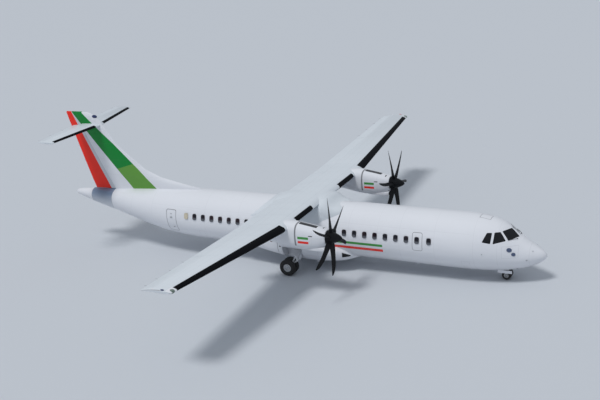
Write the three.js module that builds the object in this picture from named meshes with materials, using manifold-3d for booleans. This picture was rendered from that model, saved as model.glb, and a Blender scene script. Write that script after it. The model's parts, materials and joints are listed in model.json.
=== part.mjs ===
// Twin-engine turboprop airliner, parked on its landing gear. Units are millimetres.
// Inside the airframe group x points to port, y aft from the nose tip and z up from the fuselage
// centreline. The group is pitched and raised to its stance, with the tyres on the ground at z = 0.
import * as THREE from 'three';
import { mergeVertices } from 'three/addons/utils/BufferGeometryUtils.js';
import Module from 'manifold-3d';

const wasm = await Module();
wasm.setup();

// Driving dimensions
const pitch = THREE.MathUtils.degToRad(1);
const centrelineHeight = 1742;
const seam = 0.3;
const running = 8;
const wheelbase = 10770;
const noseWheelAft = 1930;
const mainWheelAft = noseWheelAft + wheelbase;
const wheelTrack = 4100;
const halfSpan = 13525;
const centreWingHalf = 4800;
const propellerOffset = 4050;
const propellerAft = 9230;
const propellerHeight = 1162;
const propellerRadius = 1965;
const tailplaneHeight = 4720;
const tailplaneHalf = 3655;
const skin = 80;

const paints = {
  white: { color: 0xe9ecef, roughness: 0.32, metalness: 0 },
  wing: { color: 0xc9d1d8, roughness: 0.4, metalness: 0 },
  band: { color: 0x5d6a82, roughness: 0.35, metalness: 0.2 },
  glass: { color: 0x0b0e12, roughness: 0.08, metalness: 0 },
  black: { color: 0x15171b, roughness: 0.35, metalness: 0 },
  engine: { color: 0x8f9296, roughness: 0.5, metalness: 0.9 },
  strut: { color: 0xb9bec4, roughness: 0.35, metalness: 0.6 },
  rim: { color: 0xd4d7da, roughness: 0.4, metalness: 0.5 },
  tyre: { color: 0x141414, roughness: 0.9, metalness: 0 },
};

const aircraft = new THREE.Group();
const airframe = new THREE.Group();
airframe.rotation.x = pitch;
airframe.position.z = centrelineHeight;
aircraft.add(airframe);

const point = (x, y, z) => new THREE.Vector3(x, y, z);
const mirrored = (solid) => solid.mirror([1, 0, 0]);
const flipped = (place) => place.clone().setX(-place.x);

// Joins the vertices of a closed geometry and turns it into a solid.
function solidOf(geometry) {
  const bare = geometry.clone();
  bare.deleteAttribute('normal');
  bare.deleteAttribute('uv');
  const merged = mergeVertices(bare, 0.01);
  return new wasm.Manifold(new wasm.Mesh({
    numProp: 3,
    vertProperties: new Float32Array(merged.attributes.position.array),
    triVerts: new Uint32Array(merged.index.array),
  }));
}

function geometryOf(solid) {
  const mesh = solid.getMesh();
  const geometry = new THREE.BufferGeometry();
  geometry.setAttribute('position', new THREE.BufferAttribute(new Float32Array(mesh.vertProperties), 3));
  geometry.setIndex(new THREE.BufferAttribute(new Uint32Array(mesh.triVerts), 1));
  return geometry;
}

function addPart(name, solid, paint, parent = airframe) {
  const geometry = geometryOf(solid);
  geometry.applyMatrix4(parent.userData.toLocal ?? new THREE.Matrix4());
  geometry.computeVertexNormals();
  const mesh = new THREE.Mesh(geometry, new THREE.MeshStandardMaterial(paints[paint]));
  mesh.name = name;
  parent.add(mesh);
}

// A group whose origin is the middle of a hinge line and whose x axis runs from a to b.
function hingeGroup(name, a, b, parent = airframe) {
  const frame = hingeFrame(a, b);
  const group = new THREE.Group();
  group.name = name;
  group.userData.toLocal = frame.clone().invert();
  const local = frame.clone();
  if (parent.userData.toLocal) local.premultiply(parent.userData.toLocal);
  local.decompose(group.position, group.quaternion, group.scale);
  parent.add(group);
  return group;
}

function hingeFrame(a, b) {
  const along = b.clone().sub(a).normalize();
  const aft = point(0, 1, 0);
  if (Math.abs(along.y) > 0.9) aft.set(1, 0, 0);
  aft.addScaledVector(along, -aft.dot(along)).normalize();
  const up = along.clone().cross(aft);
  const middle = a.clone().add(b).multiplyScalar(0.5);
  return new THREE.Matrix4().makeBasis(along, aft, up).setPosition(middle);
}

// Values between the rows of a table, by a curve that never overshoots them.
function smoothTable(rows) {
  const first = rows.map((row) => row[0]);
  const slopes = rows[0].slice(1).map((unused, column) => {
    const values = rows.map((row) => row[column + 1]);
    const steps = values.slice(1).map((value, i) => (value - values[i]) / (first[i + 1] - first[i]));
    return values.map((value, i) => {
      if (i === 0) return steps[0];
      if (i === steps.length) return steps[i - 1];
      if (steps[i - 1] * steps[i] <= 0) return 0;
      const wide = 2 * first[i + 1] - first[i] - first[i - 1];
      const near = first[i + 1] + first[i] - 2 * first[i - 1];
      return 3 * (first[i + 1] - first[i - 1]) / (wide / steps[i - 1] + near / steps[i]);
    });
  });
  return (at) => {
    let i = 0;
    while (i < rows.length - 2 && at > first[i + 1]) i += 1;
    const span = first[i + 1] - first[i];
    const t = THREE.MathUtils.clamp((at - first[i]) / span, 0, 1);
    return slopes.map((slope, column) => {
      const from = rows[i][column + 1];
      const to = rows[i + 1][column + 1];
      const blend = t * t * (3 - 2 * t);
      const lean = t * (1 - t) * span * ((1 - t) * slope[i] - t * slope[i + 1]);
      return from + (to - from) * blend + lean;
    });
  };
}

// A closed skin over rings that all have the same number of points. Each end is closed by a strip
// between the two halves of its ring.
function loft(rings) {
  const sides = rings[0].length;
  const index = [];
  for (let ring = 0; ring < rings.length - 1; ring += 1) {
    for (let side = 0; side < sides; side += 1) {
      const next = (side + 1) % sides;
      const a = ring * sides + side;
      const b = ring * sides + next;
      index.push(a, b, b + sides, a, b + sides, a + sides);
    }
  }
  for (let low = 0, high = sides - 1; low < high - 1; low += 1, high -= 1) {
    const faces = [[low, low + 1, high]];
    if (low + 1 < high - 1) faces.push([low + 1, high - 1, high]);
    for (const face of faces) {
      const last = (rings.length - 1) * sides;
      index.push(face[2], face[1], face[0]);
      index.push(face[0] + last, face[1] + last, face[2] + last);
    }
  }
  const geometry = new THREE.BufferGeometry();
  const positions = rings.flat().flatMap((corner) => [corner.x, corner.y, corner.z]);
  geometry.setAttribute('position', new THREE.Float32BufferAttribute(positions, 3));
  geometry.setIndex(index);
  if (enclosedVolume(geometry) < 0) geometry.index.array.reverse();
  return solidOf(geometry);
}

function enclosedVolume(geometry) {
  const place = geometry.attributes.position;
  const order = geometry.index.array;
  let sum = 0;
  for (let i = 0; i < order.length; i += 3) {
    const [a, b, c] = [0, 1, 2].map((k) => new THREE.Vector3().fromBufferAttribute(place, order[i + k]));
    sum += a.dot(b.cross(c));
  }
  return sum;
}

// A ring across the airframe. A power over 2 squares its corners.
function ovalRing(aft, { half, top, bottom, middle, power = 2, sides = 32, offset = 0 }) {
  return Array.from({ length: sides }, (unused, i) => {
    const angle = (2 * Math.PI * i) / sides;
    const across = Math.sign(Math.cos(angle)) * Math.abs(Math.cos(angle)) ** (2 / power);
    const up = Math.sign(Math.sin(angle)) * Math.abs(Math.sin(angle)) ** (2 / power);
    const reach = up > 0 ? top - middle : middle - bottom;
    return point(offset + across * half, aft, middle + up * reach);
  });
}

function stationsBetween(rows, from, to) {
  return [from, ...rows.map((row) => row[0]).filter((at) => at > from + 1 && at < to - 1), to];
}

function box(low, high) {
  const size = high.clone().sub(low);
  const geometry = new THREE.BoxGeometry(size.x, size.y, size.z);
  geometry.translate(...low.clone().add(high).multiplyScalar(0.5).toArray());
  return solidOf(geometry);
}

// A round bar between two points, with its own radius at each end.
function bar(from, to, radius, sides = 16, radiusTo = radius) {
  const length = from.distanceTo(to);
  const geometry = new THREE.CylinderGeometry(radiusTo, radius, length, sides);
  const along = to.clone().sub(from).normalize();
  geometry.applyQuaternion(new THREE.Quaternion().setFromUnitVectors(point(0, 1, 0), along));
  geometry.translate(...from.clone().add(to).multiplyScalar(0.5).toArray());
  return solidOf(geometry);
}

// A round bar along x, reaching as far to each side of its middle.
function barAcross(middle, reach, radius) {
  return bar(middle.clone().setX(middle.x - reach), middle.clone().setX(middle.x + reach), radius);
}

// A body of revolution about an axis along x, with one of its flats on the ground. The profile lists
// [x, radius].
function turnedAcross(profile, centre, sides) {
  const outline = profile.map(([x, radius]) => new THREE.Vector2(radius, x));
  const geometry = new THREE.LatheGeometry(outline, sides);
  geometry.rotateZ(-Math.PI / 2);
  geometry.rotateX(Math.PI / sides - pitch);
  geometry.translate(centre.x, centre.y, centre.z);
  return solidOf(geometry);
}

// Fuselage
// aft, half width, top, bottom, height of the widest line
const hullRows = [
  [0, 30, -395, -455, -425],
  [60, 150, -270, -560, -425],
  [180, 270, -160, -670, -420],
  [400, 440, -20, -820, -400],
  [750, 640, 190, -980, -370],
  [1100, 815, 410, -1095, -330],
  [1400, 940, 655, -1165, -280],
  [1700, 1050, 905, -1220, -220],
  [2050, 1160, 1110, -1270, -150],
  [2450, 1265, 1255, -1310, -90],
  [2950, 1355, 1345, -1345, -40],
  [3550, 1412, 1390, -1370, -10],
  [4300, 1432.5, 1400, -1375, 0],
  [10000, 1432.5, 1405, -1320, 0],
  [17600, 1432.5, 1430, -1245, 0],
  [18600, 1425, 1425, -1225, 20],
  [19700, 1375, 1400, -1175, 80],
  [20900, 1255, 1350, -1040, 190],
  [22100, 1075, 1265, -790, 320],
  [23300, 840, 1160, -480, 440],
  [24430, 610, 1050, -195, 530],
  [25300, 470, 1010, 0, 590],
  [25950, 380, 975, 175, 630],
  [26600, 270, 905, 375, 665],
  [27050, 175, 850, 530, 690],
  [27170, 90, 790, 610, 700],
];
const hullShape = smoothTable(hullRows);
const hullSides = 32;
const radomeAft = 700;
const bandAft = 24430;
const coneAft = 25950;

function hull(from, to, grow = 0) {
  return loft(stationsBetween(hullRows, from, to).map((aft) => {
    const [half, top, bottom, middle] = hullShape(aft);
    return ovalRing(aft, {
      half: half + grow, top: top + grow, bottom: bottom - grow, middle, sides: hullSides,
    });
  }));
}

// A plate cut from the hull's skin and the opening it sits in.
function hullPlate(plate, opening, thickness, from, to, skin = hull) {
  return {
    plate: plate.intersect(skin(from, to)).subtract(skin(from, to, -thickness)),
    opening: opening.subtract(skin(from, to, -thickness - seam)),
  };
}

// The common plane of four corners on the skin: right and down along it, inward across it
function paneFrame(corners) {
  const centre = corners.reduce((sum, corner) => sum.add(corner), point(0, 0, 0)).multiplyScalar(0.25);
  const right = corners[1].clone().sub(corners[0]).normalize();
  const inward = right.clone().cross(corners[3].clone().sub(corners[0])).normalize();
  const down = inward.clone().cross(right);
  const flat = corners.map((corner) => {
    const away = corner.clone().sub(centre);
    return new THREE.Vector2(away.dot(right), away.dot(down));
  });
  return { centre, right, down, inward, flat };
}

// A prism through the corners, with rounded corners, across their plane.
function paneStock(corners, grow, depth = 260) {
  const { centre, right, down, inward, flat } = paneFrame(corners);
  const geometry = new THREE.ExtrudeGeometry(roundedShape(flat, 45, grow), {
    depth, bevelEnabled: false, curveSegments: 3,
  });
  geometry.translate(0, 0, -depth / 2);
  geometry.applyMatrix4(new THREE.Matrix4().makeBasis(right, down, inward).setPosition(centre));
  return solidOf(geometry);
}

function roundedShape(corners, radius, grow = 0) {
  const centre = new THREE.Vector2();
  for (const corner of corners) centre.addScaledVector(corner, 1 / corners.length);
  const moved = corners.map((corner) => {
    const away = corner.clone().sub(centre);
    return corner.clone().addScaledVector(away.normalize(), grow * Math.SQRT2);
  });
  const shape = new THREE.Shape();
  moved.forEach((corner, i) => {
    const before = moved[(i + moved.length - 1) % moved.length];
    const after = moved[(i + 1) % moved.length];
    const entry = corner.clone().addScaledVector(before.clone().sub(corner).normalize(), radius);
    const leave = corner.clone().addScaledVector(after.clone().sub(corner).normalize(), radius);
    if (i === 0) shape.moveTo(entry.x, entry.y);
    else shape.lineTo(entry.x, entry.y);
    shape.quadraticCurveTo(corner.x, corner.y, leave.x, leave.y);
  });
  shape.closePath();
  return shape;
}

// A prism across the airframe from one side, for a door or hatch between two heights.
function doorStock({ side, inner, front, rear, sill, head, radius }, grow) {
  const corners = [[front, head], [rear, head], [rear, sill], [front, sill]];
  const flat = corners.map(([aft, height]) => new THREE.Vector2(aft, height));
  const middle = new THREE.Vector2((front + rear) / 2, (sill + head) / 2);
  const grown = flat.map((corner) => {
    const away = corner.clone().sub(middle);
    return corner.clone().add(new THREE.Vector2(Math.sign(away.x) * grow, Math.sign(away.y) * grow));
  });
  const depth = 1700 - inner;
  const geometry = new THREE.ExtrudeGeometry(roundedShape(grown, radius), {
    depth, bevelEnabled: false, curveSegments: 4,
  });
  const frame = new THREE.Matrix4().makeBasis(point(0, 1, 0), point(0, 0, 1), point(1, 0, 0));
  geometry.applyMatrix4(frame);
  geometry.translate(inner, 0, 0);
  const stock = solidOf(geometry);
  return side > 0 ? stock : mirrored(stock);
}

// Flat pads for jacks, standing a little proud of the skin
const jackPad = {
  radius: 55, depth: 120, noseAft: 3050, noseFace: -1375, bellyAft: 11550, bellyOut: 1050, bellyFace: -1540,
};

function jackPadAt(x, aft, face) {
  return bar(point(x, aft, face + jackPad.depth), point(x, aft, face), jackPad.radius, 12);
}

let fuselage = hull(radomeAft + seam, bandAft - seam).add(jackPadAt(0, jackPad.noseAft, jackPad.noseFace));
addPart('radome', hull(0, radomeAft), 'white');
addPart('tail_band', hull(bandAft, coneAft - seam), 'band');
addPart('tail_cone', hull(coneAft, 27170), 'white');

// Cockpit glass
// corners of the starboard panes: top outer, top inner, bottom inner, bottom outer
const paneCorners = {
  front: [point(-607, 1956, 871), point(-44, 1651, 868), point(-114, 1250, 515), point(-771, 1638, 490)],
  side: [point(-824, 2273, 859), point(-676, 2022, 858), point(-835, 1730, 487), point(-1139, 2293, 381)],
  rear: [point(-950, 2605, 861), point(-874, 2374, 855), point(-1168, 2402, 394), point(-1236, 2792, 463)],
};
const paneThickness = 25;
// the two front panes lie in flat facets cut into the skin, each with a shallow ramp ahead of it
const facet = { margin: 200, foot: 30, ramp: 330, rise: 125, height: 400 };

function facetStock(grow = 0) {
  const { centre, right, down, inward, flat } = paneFrame(paneCorners.front);
  const across = flat.map((corner) => corner.x);
  const along = flat.map((corner) => corner.y);
  const head = Math.min(...along) - facet.margin;
  const foot = Math.max(...along) + facet.foot;
  const outline = new THREE.Shape([
    [head, -grow], [foot, -grow], [foot + facet.ramp, -grow - facet.rise],
    [foot + facet.ramp, -facet.height], [head, -facet.height],
  ].map(([x, y]) => new THREE.Vector2(x, y)));
  const start = Math.min(...across) - facet.margin;
  const depth = Math.max(...across) + facet.margin - start;
  const geometry = new THREE.ExtrudeGeometry(outline, { depth, bevelEnabled: false });
  geometry.translate(0, 0, start);
  geometry.applyMatrix4(new THREE.Matrix4().makeBasis(down, inward, right).setPosition(centre));
  return solidOf(geometry);
}

function cockpitHull(from, to, grow = 0) {
  const facetRoom = facetStock(grow);
  return hull(from, to, grow).subtract(facetRoom).subtract(mirrored(facetRoom));
}

const facetRoom = facetStock();
fuselage = fuselage.subtract(facetRoom).subtract(mirrored(facetRoom));
for (const [place, corners] of Object.entries(paneCorners)) {
  const cut = hullPlate(
    paneStock(corners, 0), paneStock(corners, seam), paneThickness, 750, 3550, cockpitHull,
  );
  fuselage = fuselage.subtract(cut.opening).subtract(mirrored(cut.opening));
  addPart(`pane_${place}_right`, cut.plate, 'glass');
  addPart(`pane_${place}_left`, mirrored(cut.plate), 'glass');
}

// Crew escape hatch in the cockpit roof
const crewHatch = { front: 2640, rear: 3150, half: 240, thickness: 40 };

function crewHatchStock(grow) {
  return box(
    point(-crewHatch.half - grow, crewHatch.front - grow, 900),
    point(crewHatch.half + grow, crewHatch.rear + grow, 1600),
  );
}

const crewHatchCut = hullPlate(crewHatchStock(0), crewHatchStock(seam), crewHatch.thickness, 2450, 4300);
fuselage = fuselage.subtract(crewHatchCut.opening);
addPart('crew_hatch', crewHatchCut.plate, 'white');

// Emergency exits, plugs with no hinge
const exitHatch = { side: 1, inner: 1000, front: 5720, rear: 6200, sill: -200, head: 650, radius: 90 };
const exitCut = hullPlate(doorStock(exitHatch, 0), doorStock(exitHatch, seam), 60, 4300, 10000);
fuselage = fuselage.subtract(exitCut.opening).subtract(mirrored(exitCut.opening));
addPart('exit_hatch_left', exitCut.plate, 'white');
addPart('exit_hatch_right', mirrored(exitCut.plate), 'white');

// Doors, each cut round about its hinge so that it swings free of its frame. Where that isn't enough for
// a rounded corner, cornerRoom sharpens the corners of the frame.
const floorHeight = -680;
const passengerDoor = {
  side: 1, inner: 600, front: 19590, rear: 20410, sill: floorHeight, head: 1070, radius: 110, cornerRoom: 50,
};
const serviceDoor = {
  side: -1, inner: 600, front: 19750, rear: 20360, sill: -620, head: 600, radius: 90, cornerRoom: 50,
};
const cargoDoor = {
  side: 1, inner: 600, front: 3552, rear: 4847, sill: -665, head: 910, radius: 110, cornerRoom: 0,
};

function hullWidthAt(aft, height, inset = 0) {
  const [half, top, bottom, middle] = hullShape(aft);
  const reach = (height > middle ? top - middle : middle - bottom) - inset;
  return (half - inset) * Math.sqrt(1 - ((height - middle) / reach) ** 2);
}

function swungDoor(door, hingeFrom, hingeTo, reach, from, to) {
  const swing = (grow) => bar(hingeFrom, hingeTo, reach + grow, 96);
  const plate = doorStock(door, 0).intersect(swing(0)).intersect(hull(from, to));
  return {
    plate: plate.subtract(hull(from, to, -skin)),
    opening: doorStock({ ...door, radius: door.radius - door.cornerRoom }, running).intersect(swing(running)),
  };
}

// The hinge lines lie just outside the skin where the door is widest.
const hingeProud = 4;
const passengerHinge = hullWidthAt(passengerDoor.front, passengerDoor.sill) + hingeProud;
const passengerAxis = [
  point(passengerHinge, passengerDoor.front, passengerDoor.sill),
  point(passengerHinge, passengerDoor.rear, passengerDoor.sill),
];
const cargoHinge = hullWidthAt(4200, cargoDoor.head);
const cargoAxis = [
  point(cargoHinge, cargoDoor.rear, cargoDoor.head),
  point(cargoHinge, cargoDoor.front, cargoDoor.head),
];
const serviceHinge = -hullWidthAt(serviceDoor.front, 80) - hingeProud;
const serviceAxis = [
  point(serviceHinge, serviceDoor.front, serviceDoor.sill),
  point(serviceHinge, serviceDoor.front, serviceDoor.head),
];

function longAxis([from, to], extra) {
  const along = to.clone().sub(from).normalize().multiplyScalar(extra);
  return [from.clone().sub(along), to.clone().add(along)];
}

const cabinLining = -skin - running;
const vestibule = box(point(-1500, 17000, floorHeight - 20), point(1500, 20460, 1100));
const cargoBay = box(point(-900, 3480, cargoDoor.sill - 20), point(1500, 4920, 960));
fuselage = fuselage.subtract(vestibule.intersect(hull(10000, 22100, cabinLining)));
fuselage = fuselage.subtract(cargoBay.intersect(hull(2950, 10000, cabinLining)));

const passengerSwing = swungDoor(
  passengerDoor, ...longAxis(passengerAxis, 40), passengerDoor.head - passengerDoor.sill, 18600, 22100,
);
const serviceSwing = swungDoor(
  serviceDoor, ...longAxis(serviceAxis, 40), serviceDoor.rear - serviceDoor.front, 18600, 22100,
);
const cargoSwing = swungDoor(
  cargoDoor, ...longAxis(cargoAxis, 40), Math.hypot(1575, 165), 2950, 10000,
);
for (const swing of [passengerSwing, serviceSwing, cargoSwing]) {
  fuselage = fuselage.subtract(swing.opening);
}

// Steps on the inside of the passenger door
const step = { count: 4, first: -380, pitch: 360, depth: 210, thickness: 45, width: 620 };
let stairs = passengerSwing.plate;
for (let i = 0; i < step.count; i += 1) {
  const height = step.first + i * step.pitch;
  const wall = hullWidthAt(20000, height, skin);
  const middle = (passengerDoor.front + passengerDoor.rear) / 2;
  stairs = stairs.add(box(
    point(wall - step.depth, middle - step.width / 2, height),
    point(wall + skin / 2, middle + step.width / 2, height + step.thickness),
  ));
}
addPart('passenger_door', stairs, 'white', hingeGroup('passenger_door_hinge', ...passengerAxis));
addPart('service_door', serviceSwing.plate, 'white', hingeGroup('service_door_hinge', ...serviceAxis));
addPart('cargo_door', cargoSwing.plate, 'white', hingeGroup('cargo_door_hinge', ...cargoAxis));

// Wing
const wing = {
  lead: 11300, chord: 2570, height: 1571, thickness: 0.18,
  tipLead: 12040, tipChord: 1557, tipHeight: 2080, tipThickness: 0.13,
  camber: 0.02, incidence: THREE.MathUtils.degToRad(2), edge: 5,
};

function wingAt(x) {
  const t = THREE.MathUtils.clamp((Math.abs(x) - centreWingHalf) / (halfSpan - centreWingHalf), 0, 1);
  const mix = THREE.MathUtils.lerp;
  return {
    lead: mix(wing.lead, wing.tipLead, t),
    chord: mix(wing.chord, wing.tipChord, t),
    height: mix(wing.height, wing.tipHeight, t),
    thickness: mix(wing.thickness, wing.tipThickness, t),
  };
}

// Half thickness of a wing section over its chord, from its leading edge at 0 to 1.
function foil(t) {
  return 5 * (0.2969 * Math.sqrt(t) - 0.126 * t - 0.3516 * t ** 2 + 0.2843 * t ** 3 - 0.1036 * t ** 4);
}

function wingSurface(x, t, side, grow = 0) {
  const { lead, chord, height, thickness } = wingAt(x);
  const centre = wing.camber * 4 * t * (1 - t) * chord - t * chord * Math.tan(wing.incidence);
  const half = foil(t) * thickness * chord + wing.edge * t + grow;
  return point(x, lead + t * chord + (t - 0.5) * 2 * grow, height + centre + side * half);
}

const foilSteps = 9;

// Round a section from the upper trailing edge, by the nose, to the lower one
function foilRing(surface) {
  const shares = Array.from({ length: foilSteps + 1 }, (unused, i) => (
    (1 + Math.cos((Math.PI * i) / foilSteps)) / 2
  ));
  const lower = shares.slice(0, -1).reverse();
  return [...shares.map((t) => surface(t, 1)), ...lower.map((t) => surface(t, -1))];
}

function wingLoft(from, to, grow = 0) {
  return loft([from, to].map((x) => foilRing((t, side) => wingSurface(x, t, side, grow))));
}

// The room behind a hinge line, with a round front about it. The radii are those at its two ends.
function hingeRoom(a, b, radii, grow) {
  const length = a.distanceTo(b) + 2 * grow;
  const room = new THREE.BoxGeometry(length, 2000, 700);
  room.translate(0, 1000, 0);
  room.applyMatrix4(hingeFrame(a, b));
  const [from, to] = longAxis([a, b], grow);
  return solidOf(room).add(bar(from, to, radii[0] + grow, 24, radii[1] + grow));
}

function splitAtHinge(body, a, b, radii) {
  return {
    fixed: body.subtract(hingeRoom(a, b, radii, running)),
    moving: body.intersect(hingeRoom(a, b, radii, 0)),
  };
}

function wingHinge(x, t) {
  const top = wingSurface(x, t, 1);
  const bottom = wingSurface(x, t, -1);
  return { place: top.clone().add(bottom).multiplyScalar(0.5), radius: (top.z - bottom.z) * 0.56 };
}

const wingMoving = [
  { name: 'flap_inner', from: 1560, to: 3480, at: 0.72, centre: true },
  { name: 'flap_outer', from: 4860, to: 9250, at: 0.72, centre: false },
  { name: 'aileron', from: 9330, to: 13100, at: 0.74, centre: false },
];
let wingCentre = wingLoft(-centreWingHalf, centreWingHalf);
let wingOuter = loft([
  foilRing((t, side) => wingSurface(centreWingHalf + seam, t, side)),
  foilRing((t, side) => wingSurface(13440, t, side)),
  foilRing((t, side) => {
    const tip = wingSurface(halfSpan, t * 0.93 + 0.035, side);
    const middle = wingSurface(halfSpan, t * 0.93 + 0.035, 0);
    return tip.setZ(middle.z + (tip.z - middle.z) * 0.45);
  }),
]);
for (const { name, from, to, at, centre } of wingMoving) {
  const [inner, outer] = [from, to].map((x) => wingHinge(x, at));
  const hinge = [inner.place, outer.place, [inner.radius, outer.radius]];
  const split = splitAtHinge(centre ? wingCentre : wingOuter, ...hinge);
  if (centre) wingCentre = split.fixed.subtract(mirrored(hingeRoom(...hinge, running)));
  else wingOuter = split.fixed;
  const left = hingeGroup(`${name}_left_hinge`, outer.place, inner.place);
  addPart(`${name}_left`, split.moving, 'wing', left);
  const right = hingeGroup(`${name}_right_hinge`, flipped(inner.place), flipped(outer.place));
  addPart(`${name}_right`, mirrored(split.moving), 'wing', right);
}
addPart('wing_left', wingOuter, 'wing');
addPart('wing_right', mirrored(wingOuter), 'wing');
const wingRoom = wingLoft(-centreWingHalf, centreWingHalf, seam);
fuselage = fuselage.subtract(wingLoft(-1900, 1900, seam));

// Fairing between the wing and the crown of the fuselage
// aft, half width, top, squareness of the section
const crownRows = [
  [10120, 800, 1200, 4.5],
  [10160, 862, 1297, 4.5],
  [10300, 960, 1347, 4.5],
  [10500, 1033, 1395, 4.2],
  [10670, 1096, 1442, 4],
  [10820, 1140, 1550, 3.7],
  [10920, 1170, 1630, 3.5],
  [11030, 1203, 1725, 3.3],
  [11230, 1262, 1765, 3],
  [11500, 1295, 1785, 2.8],
  [11900, 1300, 1800, 2.7],
  [12700, 1300, 1770, 2.7],
  [13400, 1300, 1690, 2.7],
  [13900, 1298, 1590, 2.7],
  [14300, 1290, 1430, 2.7],
  [14800, 1275, 1130, 2.7],
  [15350, 1240, 760, 2.7],
];
const crownBase = 640;
const crown = loft(crownRows.map(([aft, half, top, power]) => ovalRing(aft, {
  half, top, bottom: crownBase - 40, middle: crownBase, power, sides: 28,
})));
addPart('wing_fairing', crown.subtract(hull(4300, 20900, seam)).subtract(wingRoom), 'wing');

// Belly fairing with the bays of the main landing gear
// aft, half width, top, height of the widest line, bottom
const bellyRows = [
  [9300, 520, -1110, -1190, -1250],
  [9420, 760, -960, -1080, -1262],
  [9560, 1030, -810, -1000, -1282],
  [9720, 1190, -700, -940, -1312],
  [9950, 1360, -570, -880, -1365],
  [10250, 1500, -470, -800, -1415],
  [10600, 1615, -400, -700, -1455],
  [11000, 1705, -370, -580, -1488],
  [11500, 1765, -360, -480, -1515],
  [12000, 1780, -360, -420, -1523],
  [12300, 1785, -360, -420, -1525],
  [13100, 1755, -360, -420, -1470],
  [13700, 1695, -360, -420, -1390],
  [14300, 1600, -360, -420, -1300],
  [14900, 1490, -360, -420, -1215],
  [15800, 1380, -360, -420, -1120],
];
let belly = loft(bellyRows.map(([aft, half, top, middle, bottom]) => ovalRing(aft, {
  half, top, bottom, middle, power: 3.2, sides: 32,
})));
belly = belly.subtract(hull(4300, 20900, seam));
const gearBay = { front: 12080, rear: 13220, inner: 1080, top: -640 };
for (const side of [-1, 1]) {
  const xs = [side * gearBay.inner, side * 2200].sort((a, b) => a - b);
  belly = belly.subtract(box(point(xs[0], gearBay.front, -1900), point(xs[1], gearBay.rear, gearBay.top)));
}
for (const side of [-1, 1]) {
  belly = belly.add(jackPadAt(side * jackPad.bellyOut, jackPad.bellyAft, jackPad.bellyFace));
}
addPart('belly_fairing', belly, 'white');

// Nose landing gear bay
const noseBay = { front: noseWheelAft - 380, rear: noseWheelAft + 420, half: 360, roof: -750 };
fuselage = fuselage.subtract(box(
  point(-noseBay.half, noseBay.front, -1600), point(noseBay.half, noseBay.rear, noseBay.roof),
));
addPart('fuselage', fuselage, 'white');
addPart('wing_centre', wingCentre, 'wing');

// Nacelles, hollow ahead of the wing, each round a plain engine block
// aft, half width, top, bottom
const nacelleRows = [
  [9420, 352, 1514, 810],
  [9520, 400, 1550, 730],
  [9800, 450, 1606, 600],
  [10300, 490, 1690, 510],
  [10850, 500, 1772, 488],
  [11100, 500, 1803, 510],
  [11300, 500, 1812, 535],
  [11680, 495, 1789, 610],
  [12000, 490, 1730, 670],
  [12500, 475, 1620, 760],
  [13200, 430, 1500, 860],
  [13900, 330, 1290, 930],
  [14400, 200, 1090, 960],
];
// air intake under the front of each nacelle, and the duct in it
const intakeRows = [
  [9450, 370, 770, 490],
  [9700, 388, 758, 474],
  [10100, 375, 728, 465],
  [10600, 300, 690, 480],
  [11000, 200, 650, 545],
];
const ductRows = [
  [9440, 335, 742, 518],
  [9700, 320, 650, 503],
  [9950, 240, 600, 505],
];
const nacelleFront = nacelleRows[0][0];
const nacelleWall = 45;
const firewallAft = 11280;
const engineBlock = { front: 9620, rear: firewallAft - seam, half: 255, bottom: 860, top: 1410 };

function nacelleLoft(from, to, grow, sides) {
  const shape = smoothTable(nacelleRows);
  return loft(stationsBetween(nacelleRows, from, to).map((aft) => {
    const [half, top, bottom] = shape(aft);
    return ovalRing(aft, {
      half: half + grow, top: top + grow, bottom: bottom - grow,
      middle: (top + bottom) / 2, power: 2.7, sides, offset: propellerOffset,
    });
  }));
}

function intakeLoft(rows) {
  return loft(rows.map(([aft, half, top, bottom]) => ovalRing(aft, {
    half, top, bottom, middle: (top + bottom) / 2, power: 3.2, sides: 16, offset: propellerOffset,
  })));
}

let nacelle = nacelleLoft(nacelleFront, 14400, 0, 24).add(intakeLoft(intakeRows)).subtract(wingRoom);
nacelle = nacelle.subtract(nacelleLoft(nacelleFront + 1, firewallAft, -nacelleWall, 16));
const nacelleMouth = nacelleLoft(nacelleFront + 1, nacelleFront + 40, -nacelleWall, 16);
nacelle = nacelle.subtract(nacelleMouth.translate([0, -30, 0])).subtract(intakeLoft(ductRows));
const flapEndRoom = 60;
for (const { from, to, at } of wingMoving.slice(0, 2)) {
  const [a, b] = [from - flapEndRoom, to + flapEndRoom].map((x) => wingHinge(x, at));
  nacelle = nacelle.subtract(hingeRoom(a.place, b.place, [a.radius, b.radius], running));
}
addPart('nacelle_left', nacelle, 'white');
addPart('nacelle_right', mirrored(nacelle), 'white');
const engine = box(
  point(propellerOffset - engineBlock.half, engineBlock.front, engineBlock.bottom),
  point(propellerOffset + engineBlock.half, engineBlock.rear, engineBlock.top),
);
addPart('engine_left', engine, 'engine');
addPart('engine_right', mirrored(engine), 'engine');

// Propellers: six swept blades on a hub, behind a pointed spinner
const blade = { count: 6, sides: 7, phaseLeft: 44, phaseRight: 57.5 };
// radius, chord, sweep back along the turn, pitch angle in degrees, thickness
const bladeRows = [
  [150, 150, 0, 66, 92],
  [420, 265, -8, 60, 62],
  [620, 250, -12, 56, 48],
  [900, 225, -15, 50, 34],
  [1250, 215, -5, 44, 24],
  [1700, 180, 45, 37, 15],
  [propellerRadius, 75, 115, 34, 8],
];
// hub and spinner profiles: [aft of the propeller plane, radius]
const spinnerProfile = [[-588, 0], [-562, 50], [-480, 116], [-340, 192], [-130, 266], [-130, 0]];
const hubProfile = [
  [-130 + seam, 0], [-130 + seam, 266], [60, 314], [185, 334], [185, 90], [380, 90], [380, 0],
];

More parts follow.
